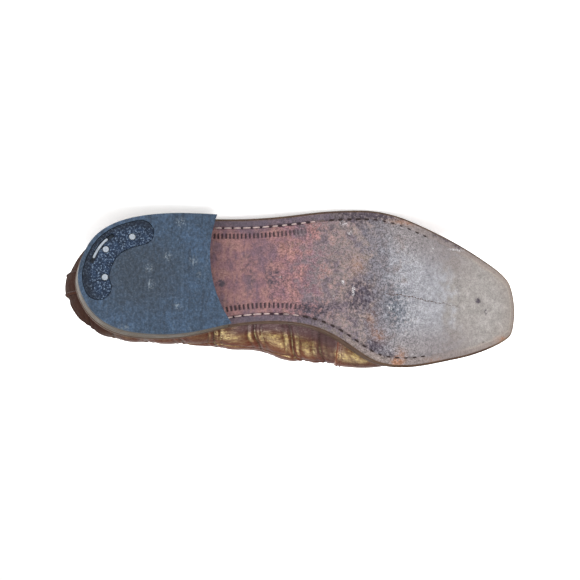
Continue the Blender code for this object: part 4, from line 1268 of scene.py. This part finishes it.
def make_sole_seam():
    """Stitches of the outsole: pale in the waist, dark under the ball, mostly worn away at the toe."""
    places, runs = sole_stitches()
    draws = np.random.RandomState(7).rand(len(places), 3)
    x = places[:, 0]
    ends = by_side(PALE_THREAD_ENDS, places[:, 1] >= 0)
    dark = np.clip((x - ends) / 30 + 0.5 + 0.5 * (draws[:, 0] - 0.5), 0, 1)
    tone = ramp(dark, 0.35, 0.65)
    kept = (x < DARK_THREAD_END) | (draws[:, 1] < 0.3)
    whole = 1.0 - 0.32 * ramp(x, *THREAD_WEAR)
    half = STITCH_HALF * np.where(tone > 0.5, 0.72, whole) * (0.85 + 0.3 * draws[:, 2])
    radius = STITCH_RADIUS * np.where(x > DARK_THREAD_END, 0.6, np.where(tone > 0.5, 1.4, 1.0))
    normals = np.tile(DOWN, (len(places), 1))
    places[:, 2] += 0.42 + 0.15 * ramp(x, *TREAD_FLATTENS) + np.where(x > TOE_WEAR[0], 0.6, 0.0)
    points, faces = threads(places[kept], runs[kept], normals[kept], half[kept], radius[kept])
    tones = np.repeat(tone[kept], len(points) // kept.sum())
    piece("outsole_stitches", points, faces, ("sole_thread",), "lace_cord", values={"tone": tones})


def make_crack():
    """Fine crack in the forefoot, as a narrow dark ribbon."""
    at = np.linspace(0, len(CRACK_POINTS) - 1, 160)
    x, y = spline(CRACK_POINTS, at).T
    y = y + 0.35 * np.sin(at * 9.1) + 0.2 * np.sin(at * 23.7)
    width = np.linspace(0.55, 0.25, len(at)) * (0.7 + 0.5 * np.sin(at * 31.0))
    width *= np.sin(np.linspace(0, math.pi, len(at))) ** 0.5
    z = sole_bottom(x) + TREAD_RISE + tread_swell(x, y) - 0.03
    rows = ((-1, 0.0), (0, 0.02), (1, 0.0))
    lines = [np.column_stack((x, y + side * width, z + dip)) for side, dip in rows]
    points = np.stack(lines, axis=1).reshape(-1, 3)
    piece("outsole_crack", points, grid_faces(len(at), len(lines)), ("sole_thread",), "sole_leather",
          values={"tone": np.full(len(points), 0.85)}, merge=0.0001)


def make_welt():
    """Welt with wheeled top."""
    shares = edge_stations(WELT_SPACING)
    shelf = shelf_width(shares)
    width = shelf - WELT_EDGE
    inner = shelf + UPPER_WALL + FIT_GAP
    along = np.interp(shares, EDGE_SHARE, EDGE_LENGTH)
    x_edge = edge_point(shares, 0.0)[:, 0]
    wheel = 0.15 * (1 + np.cos(along * FULL_TURN / WELT_PITCH)) * ramp(x_edge, 140, 170)
    profile = (
        (WELT_EDGE, 0.0, 0.0), (WELT_EDGE, 0.7, 0.0), (WELT_EDGE + 0.1, 0.88, 0.0),
        (WELT_EDGE + 0.5, 1.0, 0.7), (WELT_EDGE + 0.3 * width + 0.4, 1.0, 1.0),
        (WELT_EDGE + 0.75 * width, 1.0, 0.6), (shelf, 1.0, 0.0), (inner, 1.0, 0.0), (inner, 0.0, 0.0),
    )
    rows = []
    for inset, rise, dip in profile:
        plan = edge_point(shares, inset)
        low = sole_bottom(plan[:, 0]) + SOLE_THICK + FIT_GAP
        rows.append(np.column_stack((plan, low + rise * welt_thick(plan[:, 0]) - dip * wheel)))
    grid = np.stack([*rows, rows[0]], axis=1)
    faces = grid_faces(len(shares), len(rows) + 1, closed=True)
    piece("welt_strip", grid.reshape(-1, 3), faces, ("edge",), "edge_leather", ("welt",))


def make_welt_seam():
    """Stitches of the welt round the forefoot."""
    run = edge_run(WELT_SEAM_STARTS, 900)
    plan = edge_point(run, WELT_EDGE + 0.55 * (shelf_width(run) - WELT_EDGE))
    path = np.column_stack((plan, feather_height(plan[:, 0]) - FIT_GAP))
    places, runs = stitch_places(path, WELT_PITCH)
    points, faces = threads(places, runs, np.tile(UP, (len(places), 1)), 0.95, 0.42)
    piece("welt_stitches", points, faces, ("upper_thread",), "lace_cord")


def make_insole():
    """Leather sock with rolled edges."""
    inset = shelf_width(EDGE_SHARE) + UPPER_WALL + 3 * FIT_GAP
    sides = [edge_point(EDGE_SHARE[order], inset[order]) for order in SIDE_ORDER.values()]
    start, end = sides[0][0, 0], sides[0][-1, 0]
    x = start + (end - start) * (1 - np.cos(np.linspace(0, math.pi, 90))) / 2
    outer, inner = (np.interp(x, side[:, 0], side[:, 1])[:, None] for side in sides)
    across = (1 - np.cos(np.linspace(0, math.pi, 34))) / 2
    half = INSOLE_THICK / 2
    z = sole_bottom(x) + SOLE_THICK + FIT_GAP + half
    grid = np.dstack(np.broadcast_arrays(x[:, None], outer + across * (inner - outer), z[:, None]))
    dish = INSOLE_DISH * bell(across - 0.5, 0.3)
    normals = np.broadcast_to(UP, grid.shape)
    points, faces = rolled_shell(grid, normals, -half, half, 2.0, ALL_EDGES, 0.0, dish)
    piece("insole_sock", points, faces, ("lining",), "lining_leather", ("insole",))


# Heel

def breast_share(side, inset):
    """Share of the sole edge where its inset line meets the curved breast of the heel."""
    shares = edge_share(side, np.linspace(60.0, 96.0, 200))
    reach = np.linalg.norm(edge_point(shares, inset) - BREAST_CENTRE, axis=1) - BREAST_RADIUS
    return np.interp(0.0, -reach, shares)


def heel_outline(inset, wall=150, breast=50):
    """Outline of the heel a distance inside the sole edge, with its curved breast."""
    back = edge_point(np.linspace(breast_share(OUTER, inset), breast_share(INNER, inset), wall), inset)
    angles = [math.atan2(*(point - BREAST_CENTRE)[::-1]) % FULL_TURN for point in (back[-1], back[0])]
    turn = np.linspace(*angles, breast)[1:-1]
    return np.concatenate((back, disc_points(BREAST_CENTRE, BREAST_RADIUS, turn)))


def disc_points(place, radius, turn):
    """Points of a circle at the given turns."""
    return np.array(place) + radius * np.column_stack((np.cos(turn), np.sin(turn)))


def disc_outline(place, radius):
    """Outline of a nail head or its hole."""
    return disc_points(place, radius, np.arange(NAIL_SIDES) * FULL_TURN / NAIL_SIDES)


def band_outline(inset, half_width, ends, count):
    """Outline of a strip that follows the back of the heel, with round ends."""
    middle = edge_point(np.linspace(*(edge_share(side, x) for side, x in ends), count), inset)
    run = half_width * unit(np.gradient(middle, axis=0))
    left = left_of(run)
    turn = np.linspace(0, math.pi, 14)[1:-1, None]
    start = middle[0] - np.sin(turn) * run[0] - np.cos(turn) * left[0]
    end = middle[-1] + np.sin(turn) * run[-1] + np.cos(turn) * left[-1]
    return np.concatenate((middle + left, end, (middle - left)[::-1], start))


def level(outline, height):
    """An outline at a height."""
    return np.column_stack((outline, np.broadcast_to(height, len(outline))))


def stacked(name, levels, paint, slot, node, values=None):
    """Solid through outlines at their heights."""
    grid = np.stack(levels, axis=1)
    columns, rows = grid.shape[:2]
    index = np.arange(columns * rows).reshape(columns, rows)
    faces = grid_faces(columns, rows, closed=True).tolist()
    faces += [index[:, 0].tolist(), index[::-1, -1].tolist()]
    return piece(name, grid.reshape(-1, 3), faces, (paint,), slot, (node,), values, sharp=38)


def rounded_prism(name, outline, low, edge, paint, slot, node):
    """Upright piece of the plate's height with a rounded lower edge."""
    inward = unit(left_of(np.roll(outline, -1, axis=0) - np.roll(outline, 1, axis=0)))
    if np.sum(inward * (outline.mean(axis=0) - outline)) < 0:
        inward = -inward
    levels = []
    for turn in np.linspace(0, math.pi / 2, 5):
        rounded = outline + inward * edge * (1 - math.sin(turn))
        levels.append(level(rounded, low + edge * (1 - math.cos(turn))))
    return stacked(name, [*levels, level(outline, PLATE_THICK)], paint, slot, node)


def make_stack():
    """Leather lifts with a fine line between them."""
    low = TOP_PIECE_THICK + FIT_GAP
    rows = [(0.0, 0.5)]
    for before, after in zip(LIFT_LINES, LIFT_LINES[1:]):
        rows += [(before + 0.02, 0.0), (0.5 * (before + after), 0.0), (after - 0.02, 0.0), (after, 1.0)]
    levels = []
    for share, groove in rows:
        outline = heel_outline(np.interp(share, (0.0, 0.5, 1.0), LIFT_INSETS) + LIFT_GROOVE * groove)
        top = sole_bottom(outline[:, 0]) - FIT_GAP
        levels.append(level(outline, low + share * (top - low)))
    seam = np.tile([groove for _, groove in rows], len(levels[0]))
    stacked("heel_lifts", levels, "lifts", "heel_leather", "heel_stack", {"seam": seam})


def make_top_piece():
    """Rubber top piece, the plate let into it, its nails and its staple."""
    levels = [level(heel_outline(HEEL_FLARE + inset), height) for inset, height in TOP_PIECE_SIDE]
    top_piece = stacked("heel_rubber", levels, "rubber", "heel_rubber", "heel_top_piece")
    pocket = band_outline(PLATE_INSET, PLATE_HALF_WIDTH + FIT_GAP, PLATE_ENDS, 60)
    cut(top_piece, [(level(pocket, -CUT_MARGIN), level(pocket, PLATE_THICK + FIT_GAP))])
    outline = band_outline(PLATE_INSET, PLATE_HALF_WIDTH, PLATE_ENDS, 60)
    plate = rounded_prism("heel_plate_inlay", outline, 0.1, 0.22, "plate", "plate_rubber", "heel_plate")
    slot = band_outline(SLOT_INSET, SLOT_HALF_WIDTH, SLOT_ENDS, 30)
    holes = [slot] + [disc_outline(place, NAIL_RADIUS + FIT_GAP) for place in NAIL_PLACES]
    cut(plate, [(level(hole, -CUT_MARGIN), level(hole, PLATE_THICK + CUT_MARGIN)) for hole in holes])
    staple = band_outline(SLOT_INSET, STAPLE_HALF_WIDTH, STAPLE_ENDS, 20)
    rounded_prism("staple_bar", staple, STAPLE_LOW, 0.4, "steel", "steel", "heel_staple")
    for number, place in enumerate(NAIL_PLACES, 1):
        rounded_prism(f"nail_head_{number}", disc_outline(place, NAIL_RADIUS), 0.0, 0.5, "steel", "steel",
                      f"heel_nail_{number}")


# Upper

def skin_measures():
    """Length along the shoe from the toe tip, and height of the skin, at each ring sample."""
    along = path_length(surface(RING_SAMPLES, HALF_HEIGHT))
    along -= np.interp(TIP, RING_SAMPLES, along)
    grid = surface(RING_SAMPLES[:, None], np.linspace(0, 1, 25))
    return along, np.linalg.norm(np.diff(grid, axis=1), axis=-1).sum(axis=1)


SKIN_ALONG, SKIN_RISE = skin_measures()


def skin_vector(ring, height):
    """Place on the skin in millimetres, along and up, for the streaks of the leather."""
    ring, height = np.broadcast_arrays(ring % RING_ROWS, height)
    along = np.interp(ring, RING_SAMPLES, SKIN_ALONG)
    up = height * np.interp(ring, RING_SAMPLES, SKIN_RISE)
    return np.stack((along, up, np.zeros_like(along)), axis=-1).reshape(-1, 3)


def scale_level(height, x):
    """Height share bent so that the rows of scales wander a little."""
    return height + 0.016 * np.sin(x / 10.3) + 0.008 * np.sin(x / 4.1 + 1.0)


def fold_distance(ring, rows, points, normals):
    """Distance of each point from the nearest line across the leather, along its surface."""
    x, z = points[..., 0], points[..., 2]
    lean = np.interp(x, FOLD_LEAN_X, FOLD_LEAN)
    place = x - lean * (z - feather_height(x) - FOLD_MID_RISE)
    place = place + 1.1 * np.sin(rows * 8.3 + x / 19.0) + 0.6 * np.sin(rows * 21.0 + x / 8.7)
    across = normals[..., 0] - lean * normals[..., 2]
    steepness = np.sqrt(np.clip(1 + lean ** 2 - across ** 2, 0.04, None))
    row = np.searchsorted(SCALE_ROWS, rows)
    found = np.empty(x.shape)
    for side in SIDES:
        lines = np.array(QUARTER_FOLDS[side] + FRONT_FOLDS)
        here = (ring % RING_ROWS <= TIP) == (side == OUTER)
        shifted = lines + ROW_SHIFTS[row[here], :len(lines)]
        found[here] = np.abs(place[here][:, None] - shifted).min(axis=1)
    return found / steepness


def scale_bulge(ring, height, points, normals):
    """Swelling of the leather between the folds of the inner side, in millimetres."""
    fold = fold_distance(ring, scale_level(height, points[..., 0]), points, normals)
    reach = ramp(height, 0.0, 0.13) * ramp(height, 0.8, 0.45)
    return SCALE_BULGE * ramp(fold, 0.0, BULGE_REACH) * reach * (ring % RING_ROWS > TIP)


def scale_relief(ring, height, points, normals):
    """Relief of the scaled leather in millimetres, at most 0, and how deep in a groove each point lies."""
    x = points[..., 0]
    rise = np.interp(ring % RING_ROWS, RING_SAMPLES, SKIN_RISE)
    rows = scale_level(height, x)
    fold = fold_distance(ring, rows, points, normals)
    line = np.abs(rows[..., None] - SCALE_ROWS).min(axis=-1) * rise
    beads = 0.75 + 0.25 * np.sin(height * rise * 2.6 + 3 * np.sin(x / 7.0))
    groove = np.maximum(bell(fold, 0.7), 0.6 * bell(fold - 2 * FOLD_RIDGE, 0.9))
    groove = np.maximum(groove, 0.8 * bell(line, 0.65))
    relief = -SCALE_BASE - SCALE_DOME * np.exp(-np.minimum(fold, line) / 2.6) - ROW_DEPTH * bell(line, 0.6)
    relief += SCALE_BASE * beads * bell(fold - FOLD_RIDGE, 0.9) - 0.3 * bell(fold - 2 * FOLD_RIDGE, 0.9)
    relief -= FOLD_DEPTH * bell(fold, 0.8)
    for top_x, foot_x, depth, width in VAMP_CREASES:
        gap = x - (foot_x + (top_x - foot_x) * height + 1.2 * np.sin(height * 9.0 + top_x))
        crease = bell(gap, width) + 0.25 - 0.25 * bell(np.abs(gap) - 2.2 * width, width)
        relief -= depth * ramp(height, 0.25, 0.75) * crease
    return relief, groove


def upper_rings():
    """Ring numbers round the upper, fine where the quarters show and coarse under vamp and toe cap."""
    half = RING_SAMPLES <= TIP
    samples = RING_SAMPLES[half]
    step = np.abs(np.gradient(SKIN_ALONG, RING_SAMPLES))[half]
    count = np.cumsum(step / np.where(samples < THROAT + 0.9, 0.85, 4.0)) * samples[1]
    count -= count[0]
    side = np.interp(np.linspace(0, count[-1], round(count[-1]) + 1), count, samples)
    for corner in (FACING_TOP, THROAT):
        side[np.abs(side - corner).argmin()] = corner
    return np.concatenate((side, RING_ROWS - side[-2:0:-1]))


def quarter_skin(ring):
    """Outside of the quarters, and how deep in a groove each point lies."""
    rings, heights = np.broadcast_arrays(ring[:, None], QUARTER_HEIGHTS)
    skin, normals = surface(rings, heights), surface_normal(rings, heights)
    relief, groove = scale_relief(rings, heights, skin, normals)
    past = np.where(np.abs(rings - TIP) < TIP - 5.4, past_vamp_seam(skin), -99.0)
    at_strip = ramp(np.abs(skin[..., 1]), 13, 10) * ramp(skin[..., 0], 24, 16)
    plain = np.maximum(ramp(past, -4, 0), at_strip)
    relief = relief + scale_bulge(rings, heights, skin, normals)
    relief = relief + plain * (-SCALE_BASE - relief) - OVERLAY_BED * ramp(past, 2, 5)
    relief = relief * ramp(heights, 1.0, 0.97)
    return skin + relief[..., None] * normals, groove * (1 - plain)


def rolled_lip(ring, open_top):
    """Rows over the top line, from the outside to the lining."""
    rim, normal = surface(ring, 1.0), surface_normal(ring, 1.0)
    bead = np.where(open_top, LIP_BEAD, 0.0)[:, None] * unit(rim - surface(ring, 0.99))
    rows = []
    for turn in np.linspace(0, math.pi, 6)[1:-1]:
        rows.append(rim - UPPER_WALL / 2 * (1 - math.cos(turn)) * normal + math.sin(turn) * bead)
    return np.stack(rows, axis=1)


def eyelet_punches():
    """Pairs of rings through both facings, at the eyelets."""
    turn = np.arange(20)[:, None] * FULL_TURN / 20
    for row in EYELET_ROWS:
        for ring in (row, RING_ROWS - row):
            place, axis = surface(ring, EYELET_V), surface_normal(ring, EYELET_V)
            side = unit(np.cross(axis, AHEAD))
            spokes = EYELET_RADIUS * (np.cos(turn) * side + np.sin(turn) * np.cross(axis, side))
            yield place - 2 * UPPER_WALL * axis + spokes, place + UPPER_WALL * axis + spokes


def make_upper():
    """Quarters and lining: scaled outside, tan inside, rolled top line, punched eyelets."""
    ring = upper_rings()
    open_top = np.minimum(ring, RING_ROWS - ring) < THROAT
    outside, groove = quarter_skin(ring)
    lip = rolled_lip(ring, open_top)
    inside = lifted(ring[:, None], LINING_HEIGHTS, -UPPER_WALL)
    grid = np.concatenate((outside, lip, inside), axis=1)
    columns, rows = grid.shape[:2]
    first_lip, last_lip = outside.shape[1] - 1, outside.shape[1] + lip.shape[1]
    keep = np.ones((columns, rows - 1), bool)
    keep[~(open_top | np.roll(open_top, -1)), first_lip:last_lip] = False
    kind = np.zeros((columns, rows - 1), int)
    kind[:, first_lip + 2:] = 1
    quads = grid_faces(columns, rows, closed=True).reshape(columns, rows - 1, 4)
    index = np.arange(columns * rows).reshape(columns, rows)
    after = np.roll(index, -1, axis=0)
    foot = np.stack((index[:, -1], after[:, -1], after[:, 0], index[:, 0]), axis=-1)
    kinds = np.concatenate((kind[keep], np.ones(columns, int)))
    heights = np.concatenate((QUARTER_HEIGHTS, np.ones(lip.shape[1]), LINING_HEIGHTS))
    values = {"groove": padded(groove, rows), "skin": skin_vector(ring[:, None], heights)}
    upper = piece("upper_quarters", grid.reshape(-1, 3), np.concatenate((quads[keep], foot)),
                  ("scales", "lining"), "scaled_leather", ("upper",), values, kinds, sharp=60, merge=0.05)
    cut(upper, eyelet_punches())


def crossing(test, low, high, heights):
    """Ring number where a test of the surface turns from negative to positive, at each height."""
    samples = np.linspace(low, high, 400)
    signs = test(surface(samples[:, None], heights))
    if signs[0].mean() > signs[-1].mean():
        samples, signs = samples[::-1], signs[::-1]
    return np.array([np.interp(0.0, column, samples) for column in signs.T])


def side_crossings(test, low, high):
    """Ring numbers of a seam on each side, at the heights of the overlays."""
    return {OUTER: crossing(test, low, high, OVERLAY_HEIGHTS),
            INNER: crossing(test, RING_ROWS - low, RING_ROWS - high, OVERLAY_HEIGHTS)}


VAMP_BACK = side_crossings(past_vamp_seam, 5.6, 9.0)
CAP_BACK = side_crossings(past_cap_seam, 7.5, TIP)
STRIP_SIDES = [crossing(past_strip_edge, 0.0, reach, STRIP_HEIGHTS) for reach in (-1.6, 1.6)]


def overlay_grid(first, last, heights, count, tight=0.006):
    """Ring and height numbers of a patch between two lines up the upper, with close steps at both."""
    ends = np.array((0.0, 0.5, 1.2, 2.2)) * tight
    share = np.concatenate((ends, np.linspace(3.5 * tight, 1 - 3.5 * tight, count), 1 - ends[::-1]))
    return np.broadcast_arrays(first + share[:, None] * (last - first), heights)


def overlay(name, node, patches, high, paint, rolled, walls, scaled=1.0):
    """Piece of leather laid on the upper, from one or two patches of it."""
    parts = []
    values = {"groove": [], "raw": [], "skin": []}
    for ring, height in patches:
        grid, normals = surface(ring, height), surface_normal(ring, height)
        relief, groove = scale_relief(ring, height, grid, normals)
        relief = relief * scaled - SCALE_BASE * (1 - scaled)
        past = past_vamp_seam(grid) if node != "back_strip" else np.zeros(ring.shape)
        low = -SCALE_BASE - OVERLAY_SINK * ramp(past, 2, 5)
        relief = np.maximum(relief, low + OVERLAY_LEAST - high)
        centre = -SCALE_BASE + 0.05
        parts.append(rolled_shell(grid, normals, low, high, OVERLAY_ROLL, rolled, centre, relief, walls))
        raw = bell(edge_distances(grid)["first_column"], RAW_EDGE)
        values["groove"] += [scaled * groove.ravel(), np.zeros(groove.size)]
        values["raw"] += [raw.ravel()] * 2
        values["skin"] += [skin_vector(ring, height)] * 2
    values = {key: np.concatenate(fields) for key, fields in values.items()}
    piece(name, *joined(parts), (paint,), "scaled_leather", (node,), values, sharp=70, merge=0.05)


def make_overlays():
    """Vamp, toe cap and back strip."""
    top = FIT_GAP + OVERLAY_THICK
    sides = [overlay_grid(VAMP_BACK[side], CAP_BACK[side], OVERLAY_HEIGHTS, 84) for side in SIDES]
    overlay("vamp_leather", "vamp", sides, top, "scales", ("first_column",), ("first_row", "last_column"))
    cap = overlay_grid(CAP_BACK[OUTER], CAP_BACK[INNER], OVERLAY_HEIGHTS, 190)
    overlay("toe_cap_leather", "toe_cap", [cap], top + CAP_STEP, "cap", ("first_column", "last_column"),
            ("first_row",), CAP_SCALED)
    strip = overlay_grid(*STRIP_SIDES, STRIP_HEIGHTS, 26)
    overlay("back_strip_leather", "back_strip", [strip], top, "scales",
            ("first_column", "last_column", "last_row"), ("first_row",), STRIP_SCALED)


def ring_shift(ring, height, distance):
    """Ring numbers moved along the surface by a distance."""
    step = 0.01
    size = np.linalg.norm(surface(ring + step, height) - surface(ring - step, height), axis=-1) / (2 * step)
    return ring + distance / size


def seam_row(ring, height, lift):
    """Stitches along a line of the upper."""
    normals = surface_normal(ring, height)
    path = surface(ring, height) + lift * normals
    places, runs = stitch_places(path, 2.1)
    nearest = np.array([np.argmin(np.linalg.norm(path - place, axis=1)) for place in places])
    return threads(places, runs, normals[nearest], 0.75, 0.3)


def make_seams():
    """Rows of stitches along the edges of the leather pieces, the top line and the facings."""
    rows = []
    lift = FIT_GAP + OVERLAY_THICK - 0.1
    for side in SIDES:
        for edge, distances, height in ((VAMP_BACK, VAMP_ROWS, lift), (CAP_BACK, CAP_ROWS, lift + CAP_STEP)):
            for distance in distances:
                ring = ring_shift(edge[side], OVERLAY_HEIGHTS, -side * distance)
                rows.append(seam_row(ring, OVERLAY_HEIGHTS, height))
    low = STRIP_HEIGHTS < 0.97
    for edge, inward in zip(STRIP_SIDES, (1, -1)):
        ring = ring_shift(edge, STRIP_HEIGHTS, inward * STRIP_ROW)
        rows.append(seam_row(ring[low], STRIP_HEIGHTS[low], lift))
    collar = np.linspace(0.45, FACING_TOP - 0.12, 300)
    facing = np.linspace(FACING_TOP + 0.1, THROAT - 0.15, 160)
    for line, height in ((collar, 0.955), (facing, 0.965), (facing, 0.8)):
        for ring in (line, RING_ROWS - line):
            rows.append(seam_row(ring, np.full(len(ring), height), -0.05))
    piece("upper_stitches", *joined(rows), ("upper_thread",), "lace_cord", merge=0.0001)


def tongue_line(row, across):
    """One line across the tongue, just under the facings: from outer side 0 to inner side 1."""
    heights = np.linspace(TONGUE_LOW_V, 1.0, 25)
    ring = np.repeat((row, RING_ROWS - row), len(heights))
    depth = UPPER_WALL + TONGUE_GAP + TONGUE_SAG * (1 - ramp(row, FACING_TOP, FACING_TOP + 1))
    line = lifted(ring, np.concatenate((heights, heights[::-1])), -depth)
    length = path_length(line)
    return read(across, length / length[-1], line)


def make_tongue():
    """Soft leaf under the facings, with a rounded end above them."""
    rows = np.linspace(TONGUE_TOP_ROW, TONGUE_LOW_ROW, 60)
    across = np.linspace(-0.5, 0.5, 45)
    widths = TONGUE_NECK + (1 - TONGUE_NECK) * ramp(rows, FACING_TOP, FACING_TOP + 1)
    leaf = [tongue_line(row, 0.5 + across * width) for row, width in zip(rows, widths)]
    rise = TONGUE_REACH * np.array([-math.sin(TONGUE_TILT), 0.0, math.cos(TONGUE_TILT)])
    reaches = np.linspace(0.06, 1.0, 16)
    shares = np.interp(reaches, (0.0, 0.5, 0.85, 1.0), (1.0, 1.0, 1.4, 1.1))
    for reach, width in zip(reaches, shares):
        leaf.insert(0, tongue_line(rows[0], 0.5 + across * TONGUE_NECK * width) + reach * rise)
    grid = np.stack(leaf)
    normals = unit(np.cross(np.gradient(grid, axis=0), np.gradient(grid, axis=1)))
    if normals[..., 2].mean() < 0:
        normals = -normals
    points, faces = rolled_shell(grid, normals, -TONGUE_THICK, 0.0, 1.0, ALL_EDGES, -TONGUE_THICK / 2)
    kinds = np.repeat((0, 1), len(faces) // 2)
    skin = np.tile(grid.reshape(-1, 3), (2, 1)) + np.array((0.0, 60.0, 0.0))
    piece("tongue_leaf", points, faces, ("scales", "lining"), "lining_leather", ("tongue",),
          {"groove": np.zeros(len(points)), "skin": skin}, kinds, sharp=70)


def make_laces():
    """Bars of waxed lace that run through the eyelets."""
    lift = LACE_RADIUS + LACE_GAP
    heights = np.array((EYELET_V, EYELET_V, EYELET_V + 0.012, 0.5 + 0.5 * EYELET_V, 1.0))
    heights = np.concatenate((heights, heights[::-1]))
    lifts = np.array((-UPPER_WALL - 0.2, -0.4, lift - 0.35, lift, lift))
    lifts = np.concatenate((lifts, lifts[::-1]))
    for number, row in enumerate(EYELET_ROWS, 1):
        knots = lifted(np.repeat((row, RING_ROWS - row), len(heights) // 2), heights, lifts)
        path = spline(knots, np.linspace(0, len(knots) - 1, 150))
        points, faces = braid(path, LACE_RADIUS, 14, twist=1.9, rib=0.14)
        piece(f"lace_bar_{number}", points, faces, ("cord",), "lace_cord", (f"lace_{number}",), sharp=80,
              merge=0.0001)


# Studio

def make_floor():
    """Plain white floor that glows a little, lifting the shadows cast on it."""
    corners = ((-1, -1), (1, -1), (1, 1), (-1, 1))
    mesh = bpy.data.meshes.new("floor")
    points = [(x * FLOOR_HALF, y * FLOOR_HALF, FLOOR_HEIGHT) for x, y in corners]
    mesh.from_pydata(points, [], [(0, 1, 2, 3)])
    # The floor glows a little so that cast shadows on it stay faint.
    paint = Paint("pale_floor", Roughness=0.95, Specular_IOR_Level=0.05, Emission_Strength=FLOOR_GLOW,
                  Emission_Color=(1.0, 1.0, 1.0, 1.0))
    white, pale = ((shade, shade, shade, 1.0) for shade in (FLOOR_WHITE, FLOOR_PALE))
    mesh.materials.append(paint.finish(paint.mix(paint.noise(0.004, 2.0), white, pale)))
    floor = linked("floor", mesh)


def make_surroundings():
    """White round the horizon, dimmer overhead."""
    world = bpy.data.worlds.new("studio")
    world.use_nodes = True
    nodes, links = world.node_tree.nodes, world.node_tree.links
    direction = nodes.new("ShaderNodeTexCoord").outputs["Generated"]
    split = nodes.new("ShaderNodeSeparateXYZ")
    links.new(direction, split.inputs[0])
    fade = nodes.new("ShaderNodeMapRange")
    fade.interpolation_type = "SMOOTHSTEP"
    links.new(split.outputs["Z"], fade.inputs["Value"])
    for socket, bound in zip(STEP_SOCKETS, SKY_FADE):
        fade.inputs[socket].default_value = bound
    back = nodes["Background"]
    back.inputs["Color"].default_value = (1.0, 1.0, 1.0, 1.0)
    links.new(fade.outputs["Result"], back.inputs["Strength"])
    bpy.context.scene.world = world


def make_lights():
    """Soft distant lights: from the camera's side and from overhead."""
    for name, place, spread, power in SOFT_LIGHTS:
        light = bpy.data.lights.new(name, "SUN")
        light.angle = math.radians(spread)
        light.energy = power
        linked(name, light).rotation_euler = (-Vector(place)).to_track_quat("-Z", "Y").to_euler()
    bpy.context.scene.view_settings.view_transform = "Standard"


def make_camera():
    """Camera at the photograph's place, aimed at the one shoe and rolled as there."""
    ahead = (CAMERA_AIM - CAMERA_PLACE).normalized()
    right = CAMERA_DOWN.cross(ahead).normalized()
    down = ahead.cross(right)
    axes = Matrix((right, -down, -ahead)).transposed()
    data = bpy.data.cameras.new("camera")
    data.sensor_width = SENSOR
    data.lens = LENS
    data.clip_start = 0.01
    camera = linked("camera", data)
    camera.matrix_world = POSE @ Matrix.Translation(CAMERA_PLACE * MM) @ axes.to_4x4()
    bpy.context.scene.camera = camera


make_camera()
make_floor()
make_surroundings()
make_lights()
make_outsole()
make_sole_seam()
make_crack()
make_welt()
make_welt_seam()
make_insole()
make_stack()
make_top_piece()
make_upper()
make_overlays()
make_seams()
make_tongue()
make_laces()
